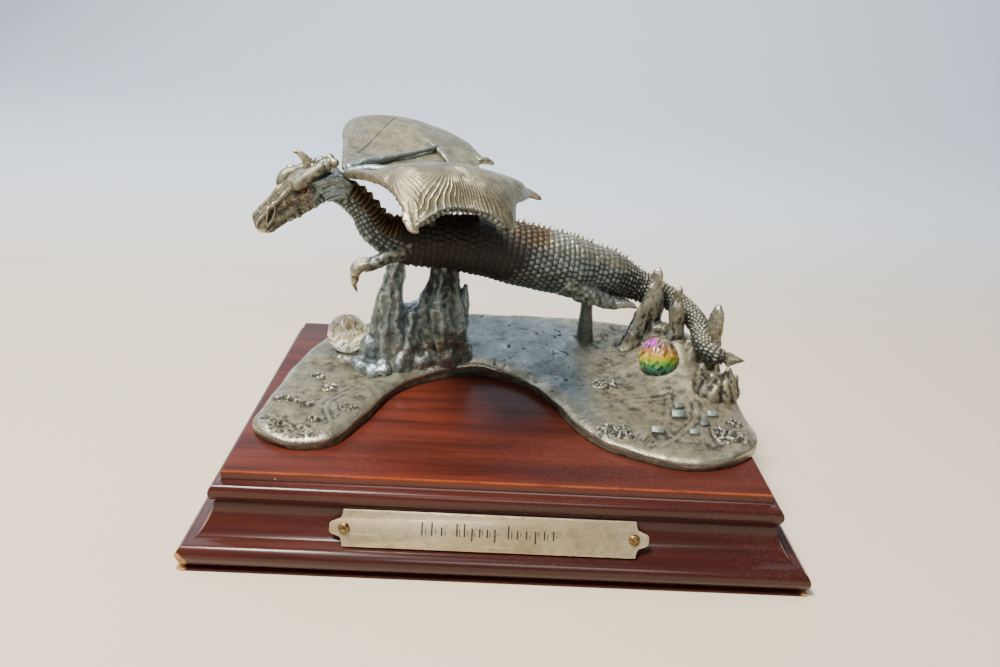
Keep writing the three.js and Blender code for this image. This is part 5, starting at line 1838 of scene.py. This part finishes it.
def wing_skin(rib_height, thickness):
    """Both wings in one closed skin, fine ribs fanned from two knuckles of each crest."""
    middle, out, back = wing_net(168, 98)
    x, y = middle[..., 0], np.abs(middle[..., 1])
    normal = outward(middle, wrap=False)
    normal = np.where(normal[..., 2:3] < 0, -normal, normal)
    sway = 1.3 * noise(middle, 11, 80) + 0.6 * noise(middle, 5, 88) + 0.2 * noise(middle, 2.2, 89)

    def fan(cx, cy, count, twist):
        away = np.hypot(x - cx, y - cy)
        return (np.arctan2(y - cy, x - cx) + twist * away / 20) * count / TAU + sway, away

    rear_phase, rear_away = fan(8.0, 47.5, 72, -0.25)
    lead_phase, lead_away = fan(-8.8, 49.5, 60, 0.40)
    lead = smooth(2.0, -3.0, x + 0.25 * (y - 52))
    strong = 0.35 + 0.65 * smooth(38, 50, y)
    ribs = (
        comb(rear_phase, 0.30) * smooth(3, 8, rear_away) * (1 - lead)
        + comb(lead_phase, 0.30) * smooth(3, 8, lead_away) * lead
    )
    faint = smooth(1.5, 4.0, rear_away) * (1 - lead) + smooth(1.0, 3.0, lead_away) * lead
    veins = np.stack([rear_phase, lead_phase, faint * (0.25 + 0.75 * strong), lead], -1)
    wave = 0.30 * noise(middle, 7, 82) + 0.10 * noise(middle, 2.6, 85)
    fold = path_distance(x, y, ((-11, 16.5), (-8.5, 20), (9.2, 46.9)))
    groove = np.exp(-((fold / 0.45) ** 2)) * smooth(48, 45, y)
    edge = (1 - out) * 62
    scallop = smooth(0.05, 0.12, back) * smooth(0.64, 0.54, back)
    roll = np.exp(-((edge / 1.8) ** 2)) * scallop
    tip = np.exp(-(((x + 5.5) / 4.5) ** 2) - ((y - 66) / 5) ** 2)
    lift = rib_height * strong * ribs + 0.5 * wave - 0.4 * groove + 0.35 * roll + 0.6 * tip
    upper = middle + normal * (thickness / 2 + lift)[..., None]
    under = middle - normal * (thickness / 2 - 0.2 * strong * ribs + 0.6 * tip + 0.4 * roll)[..., None]
    relief = 0.56 + 0.04 * strong * ribs + 0.10 * wave - 0.32 * groove - 0.30 * roll + 0.10 * tip
    shade = tones(x.shape, np.clip(relief, 0.02, 1))
    # front_edge: painted shade, a brown strip along the wing's shadowed front edge.
    front_edge = 0.4 * np.exp(-((back * 60 / 2.2) ** 2)) * smooth(30, 45, y)
    shade[..., 1] = np.clip(0.03 + 0.10 * noise(middle, 8, 86) + front_edge, 0, 1)
    shade[..., 2] = np.clip(0.55 * roll + 0.45 * smooth(20, 6, y) + 0.15 * noise(middle, 9, 87), 0, 1)
    beneath = tones(x.shape, np.clip(0.30 - 0.10 * ribs + 0.10 * noise(middle, 5, 84), 0.02, 1), 0.8)
    grid = np.concatenate([upper, under[:, ::-1]], axis=1)
    tone = np.concatenate([shade, beneath[:, ::-1]], axis=1)
    lines = np.concatenate([veins, veins[:, ::-1] * (1, 1, 0.3, 1)], axis=1)
    caps = [np.concatenate([row, row[::-1]])[None] for row in (middle[0], middle[-1])]
    obj = skin(
        "wing_skin", on_dragon(np.concatenate([caps[0], grid, caps[1]])),
        np.concatenate([tone[:1], tone, tone[-1:]]), vein=np.concatenate([lines[:1], lines, lines[-1:]])
    )
    face_out(obj)
    return obj


def wing_trim(side):
    """Rolled front edge, beaded rim between the two points, and the heavy front point."""
    share = np.linspace(0.04, 1, 40)
    edge = spline(WING_ROWS[0], share)
    reach = np.interp(share, (0, 0.15, 0.40, 0.60, 1), (0.8, 1.4, 1.3, 0.6, 0.5))
    front = [(x + 0.1, side * y, z - 0.7 * r, 1.15 * r, r) for (x, y, z), r in zip(edge, reach)]
    limb = Tube([(*on_dragon(p[:3]), p[3], p[4]) for p in front], 150, 22, blunt=1.2)
    notch = (
        np.clip(np.cos(limb.along * TAU / 2.3), -0.2, 1)[:, None]
        * smooth(0.2, -0.5, np.sin(limb.angle))[None]
    )
    grit = noise(limb.grid(), 1.6, 92)
    # Painted shade: the front roll is toned dark and brown as an edge in shadow, with its upper side painted
    # lighter as painted light from above.
    shade = tones(
        grit.shape, np.clip(0.26 + 0.14 * np.sin(limb.angle)[None] - 0.12 * notch + 0.12 * grit, 0, 1),
        0.35, 0.1
    )
    made = [skin("front_roll", limb.grid(0.3 * notch + 0.2 * grit), shade)]
    rear = np.linspace(0.07, 0.60, 40)
    rim = spline(np.array([row[-1] for row in WING_ROWS]), rear)
    limb = Tube([(*on_dragon((x, side * y, z - 0.2)), 0.62, 0.62) for x, y, z in rim], 200, 14, blunt=0.8)
    bead = np.abs(np.sin(limb.along * math.pi / 1.9))[:, None] ** 0.8
    jitter = noise(limb.grid(), 1.3, 93)
    # Painted highlights: the beads are painted bright only on their upper sides, against the dark rim.
    shade = tones(
        jitter.shape,
        np.clip(-0.05 + 0.42 * bead * smooth(0.0, 0.9, np.sin(limb.angle))[None] + 0.25 * jitter, 0, 1),
        0.0, 0.6
    )
    made.append(skin("rim_beads", limb.grid(0.5 * bead - 0.2 + 0.35 * jitter), shade))
    point = [
        (-7.0, side * 63.6, 113.0, 0.9, 1.6), (-6.4, side * 66.0, 110.4, 1.2, 2.2),
        (-5.6, side * 67.2, 108.6, 1.3, 2.3), (-5.2, side * 67.3, 107.6, 1.0, 1.7),
        (-4.9, side * 67.0, 107.2, 0.5, 0.9)
    ]
    made.append(limb_skin("front_point", point, 50, 26, 0.58, 0.06, 0.0, 1.4, 0.15, 94))
    return made


def wing_bones(side):
    """Upper arm to the shoulder, arm bone along the wing's root, knuckle, finger and the rear claw."""
    made = []
    bones = (
        ("shoulder", [(14, 4, 90, 1.8), (11, 6, 102, 1.4), (9, 8.5, 108.8, 1.0)], -0.4, 0.3, 0.3),
        (
            "arm",
            [
                (-17, 2, 111.2, 1.4), (-9.7, 5.8, 112.5, 1.8), (-3.5, 8.8, 113.1, 1.5),
                (2, 11.4, 113.6, 1.1), (13, 15.6, 115.0, 0.8), (19.7, 19.6, 115.6, 1.0),
                (20.6, 20.6, 115.3, 0.6)
            ],
            0.38, 0.0, 0.75
        ),
        (
            "finger",
            [(19.4, 19.8, 115.4, 1.1), (21.4, 17, 113.4, 0.9), (24, 13, 109.8, 0.8), (28, 9, 103.6, 0.6)],
            0.38, 0.0, 0.6
        ),
        (
            "rib_bone",
            [
                (19.7, 19.6, 115.0, 0.8), (15, 33, 118.3, 0.6), (8.5, 46.0, 121.8, 0.8),
                (7.6, 47.6, 122.0, 0.6)
            ],
            0.5, 0.1, 0.1
        ),
        (
            "wing_claw",
            [
                (36.5, 24.4, 109.6, 1.5, 2.4), (41.5, 27.6, 108.9, 1.5, 1.9), (44.5, 29.2, 107.8, 1.0, 1.1),
                (46, 29.9, 106.9, 0.35, 0.35)
            ],
            0.36, 0.06, 0.0
        ),
    )
    for name, path, relief, warm, blue in bones:
        made.append(
            limb_skin(
                name, [(p[0], side * p[1], *p[2:]) for p in path], 56, 22, relief, warm, blue, 0.9, 0.16, 90
            )
        )
    for k, share in enumerate(np.linspace(0.0, 1.0, 9)):
        x, y, z = spline(np.array(((-15.4, 2.4, 112.4), (-9.7, 5.8, 113.0), (-3.9, 8.4, 113.7))), [share])[0]
        made.append(
            blob("arm_bead", on_dragon((x, side * y, z)), (0.8, 0.7, 0.7), (0.50, 0, 0.6), 40 + k, 2, 0.2)
        )
    return made


class DRAGON_OT_wings(bpy.types.Operator):
    """Both wings with their ribs, bones and claws"""

    bl_idname = "dragon.wings"
    bl_label = "Wings"

    def execute(self, context):
        sizes = context.scene.dragon_sizes
        pieces = [wing_skin(sizes.rib_height / MM, sizes.wing_thickness / MM)]
        for side in (-1, 1):
            pieces += wing_bones(side) + wing_trim(side)
        obj = join("casting_wings", pieces, pewter_material(context.scene.dragon_colours))
        rub(obj, 0.14, 0.08)
        settle(obj, "dragon_casting")
        return {"FINISHED"}


# Stones


# Facets round and down a stone, and the right eye in the dragon's frame.
STONE_FACETS = (28, 24)
EYE_PLACE = (-32.2, 4.7, 105.4)


def cut_stone(name, centre, radius, around, rows):
    """Ball cut in diamonds; each keeps a random value (which sets its painted glint), its height and how far
    left it lies.
    """
    points, faces = [(0.0, 0.0, 1.0)], []
    for k in range(1, rows):
        turn = (np.arange(around) + 0.5 * (k % 2)) / around * TAU
        fall = math.pi * k / rows
        points += [(math.sin(fall) * math.cos(a), math.sin(fall) * math.sin(a), math.cos(fall)) for a in turn]
    points.append((0.0, 0.0, -1.0))
    last = len(points) - 1

    def at(k, j):
        return 0 if k == 0 else last if k == rows else 1 + (k - 1) * around + j % around

    for k, j in itertools.product(range(rows - 1), range(around)):
        side = j + k % 2
        faces.append((at(k, j), at(k + 1, side - 1), at(k + 2, j), at(k + 1, side)))
    mesh = bpy.data.meshes.new(name)
    mesh.from_pydata(points, [], faces)
    obj = bpy.data.objects.new(name, mesh)
    bpy.context.scene.collection.objects.link(obj)
    co = np.array(points)
    place(obj, co * radius + centre)
    face_out(obj)
    layers = [obj.data.attributes.new(key, "FLOAT", "FACE") for key in ("facet", "rise", "lean")]
    for i, face in enumerate(obj.data.polygons):
        x, y, z = np.mean([co[v] for v in face.vertices], axis=0)
        for layer, value in zip(layers, (
            (chance(i, 7, 11, 13) + 1) / 2, 0.5 + 0.5 * (0.92 * z + 0.39 * y), 0.5 - 0.5 * x
        )):
            layer.data[i].value = value
    return obj


class DRAGON_OT_crystals(bpy.types.Operator):
    """Clear and rainbow crystals"""

    bl_idname = "dragon.crystals"
    bl_label = "Crystals"

    def execute(self, context):
        radius = context.scene.dragon_sizes.crystal_radius / MM
        colours = context.scene.dragon_colours
        for name, centre, material in (
            ("clear", CLEAR_CENTRE, clear_glass_material(colours)),
            ("rainbow", RAINBOW_CENTRE, rainbow_glass_material()),
        ):
            obj = cut_stone(f"cut_{name}_crystal", centre, radius, *STONE_FACETS)
            obj.data.materials.append(material)
            settle(obj, f"{name}_crystal")
        return {"FINISHED"}


class DRAGON_OT_eyes(bpy.types.Operator):
    """Red eye stones"""

    bl_idname = "dragon.eyes"
    bl_label = "Eye stones"

    def execute(self, context):
        radius = context.scene.dragon_sizes.eye_radius / MM
        material = eye_material(context.scene.dragon_colours)
        x, y, z = EYE_PLACE
        for side, word in ((-1, "left"), (1, "right")):
            centre = on_dragon((x, side * y, z))
            obj = cut_stone(f"red_eye_{word}", centre, radius, *STONE_FACETS)
            obj.data.materials.append(material)
            focus(obj)
            bpy.ops.object.shade_smooth()
            settle(obj, f"eye_stone_{word}")
        return {"FINISHED"}


# Studio


# Yaw, pitch and roll in degrees.
CAMERA_ANGLES = (1.466, 22.615, 3.379)
CAMERA_PLACE = (-8.2557, -284.7322, 172.9369)
CAMERA_LENS = 29.7316
# The floor's run, width and start before the object, its flat part and its bend's radius.
FLOOR_LENGTH, FLOOR_WIDTH, FLOOR_FRONT = 5400, 6000, 2200
FLOOR_FLAT, FLOOR_BEND = 3200, 600


def photo_camera():
    """Camera at the photograph's place, for a frame of 1000 by 667."""
    yaw, pitch, roll = (math.radians(a) for a in CAMERA_ANGLES)
    ahead = Vector((math.sin(yaw) * math.cos(pitch), math.cos(yaw) * math.cos(pitch), -math.sin(pitch)))
    level = Vector((math.cos(yaw), -math.sin(yaw), 0))
    up = level.cross(ahead)
    right = level * math.cos(roll) + up * math.sin(roll)
    top = up * math.cos(roll) - level * math.sin(roll)
    camera = bpy.data.cameras.new("photo_camera")
    camera.lens = CAMERA_LENS
    camera.sensor_width = 36
    camera.clip_start = 0.01
    obj = bpy.data.objects.new("photo_camera", camera)
    bpy.context.scene.collection.objects.link(obj)
    matrix = Matrix((right, top, -ahead)).transposed().to_4x4()
    matrix.translation = Vector(CAMERA_PLACE) * MM
    obj.matrix_world = matrix
    bpy.context.scene.camera = obj


def area_light(name, at, aim, size, power, color):
    light = bpy.data.lights.new(name, "AREA")
    light.shape = "RECTANGLE"
    light.size, light.size_y = size
    light.energy = power
    light.color = color
    obj = bpy.data.objects.new(name, light)
    bpy.context.scene.collection.objects.link(obj)
    obj.location = at
    obj.rotation_euler = (Vector(aim) - Vector(at)).to_track_quat("-Z", "Y").to_euler()


class DRAGON_OT_studio(bpy.types.Operator):
    """Floor swept up behind, lights and camera"""

    bl_idname = "dragon.studio"
    bl_label = "Studio"

    def execute(self, context):
        begin()
        bpy.ops.mesh.primitive_grid_add(x_subdivisions=2, y_subdivisions=40, size=1)
        floor = context.object
        floor.name = "studio_floor"
        co = corners(floor)
        run = (co[:, 1] + 0.5) * FLOOR_LENGTH
        bend = np.clip((run - FLOOR_FLAT) / FLOOR_BEND, 0, math.pi / 2)
        y = -FLOOR_FRONT + np.minimum(run, FLOOR_FLAT) + FLOOR_BEND * np.sin(bend)
        z = FLOOR_BEND * (1 - np.cos(bend)) + np.maximum(run - FLOOR_FLAT - FLOOR_BEND * math.pi / 2, 0)
        place(floor, np.column_stack([co[:, 0] * FLOOR_WIDTH, y, z]))
        bpy.ops.object.shade_smooth()
        material, n, shader, where = start_material("studio_floor")
        split = n.add("ShaderNodeSeparateXYZ")
        n.link(where, split.inputs["Vector"])
        colours = context.scene.dragon_colours
        sweep = n.mix(n.span(split.outputs["Y"], 0.10, 0.50), tuple(colours.floor), tuple(colours.backdrop))
        n.link(sweep, shader.inputs["Base Color"])
        shader.inputs["Roughness"].default_value = 0.6
        floor.data.materials.append(material)
        world = context.scene.world or bpy.data.worlds.new("studio")
        context.scene.world = world
        world.use_nodes = True
        sky = world.node_tree.nodes["Background"]
        sky.inputs["Color"].default_value = (0.74, 0.84, 1.0, 1)
        sky.inputs["Strength"].default_value = 0.12
        area_light("key", (-0.30, -0.22, 0.88), (-0.01, 0.0, 0.06), (0.26, 0.22), 22.0, (1.0, 0.97, 0.91))
        area_light("front_sheen", (0.10, -1.1, 0.85), (0, 0, 0.03), (0.8, 0.22), 5.0, (1.0, 0.97, 0.93))
        area_light("window", (-0.8, 0.9, 0.75), (0, 0.1, 0.05), (0.8, 0.6), 4.5, (0.80, 0.89, 1.0))
        area_light("backdrop", (0.2, 0.75, 1.3), (0.1, 1.6, 0.3), (1.6, 0.5), 18.0, (0.90, 0.95, 1.0))
        photo_camera()
        return {"FINISHED"}


class DRAGON_PT_panel(bpy.types.Panel):
    """Lists the pieces of the sculpture"""

    bl_label = "Dragon Sculpture"
    bl_idname = "DRAGON_PT_panel"
    bl_space_type = "VIEW_3D"
    bl_region_type = "UI"
    bl_category = "Dragon"

    def draw(self, context):
        for operator in OPERATORS:
            self.layout.operator(operator.bl_idname)
        for group in (context.scene.dragon_sizes, context.scene.dragon_colours):
            box = self.layout.box()
            for name in group.__annotations__:
                box.prop(group, name)


OPERATORS = (
    DRAGON_OT_plinth, DRAGON_OT_nameplate, DRAGON_OT_pins, DRAGON_OT_landscape, DRAGON_OT_rocks,
    DRAGON_OT_body, DRAGON_OT_head, DRAGON_OT_wings, DRAGON_OT_crystals, DRAGON_OT_eyes, DRAGON_OT_studio
)
CLASSES = (DragonSizes, DragonColours, *OPERATORS, DRAGON_PT_panel)


def register():
    for cls in CLASSES:
        bpy.utils.register_class(cls)
    bpy.types.Scene.dragon_sizes = PointerProperty(type=DragonSizes)
    bpy.types.Scene.dragon_colours = PointerProperty(type=DragonColours)


def unregister():
    del bpy.types.Scene.dragon_colours
    del bpy.types.Scene.dragon_sizes
    for cls in reversed(CLASSES):
        bpy.utils.unregister_class(cls)


def main():
    register()
    for operator in OPERATORS:
        group, name = operator.bl_idname.split(".")
        getattr(getattr(bpy.ops, group), name)()
    bpy.context.view_layer.update()


if __name__ == "__main__":
    main()
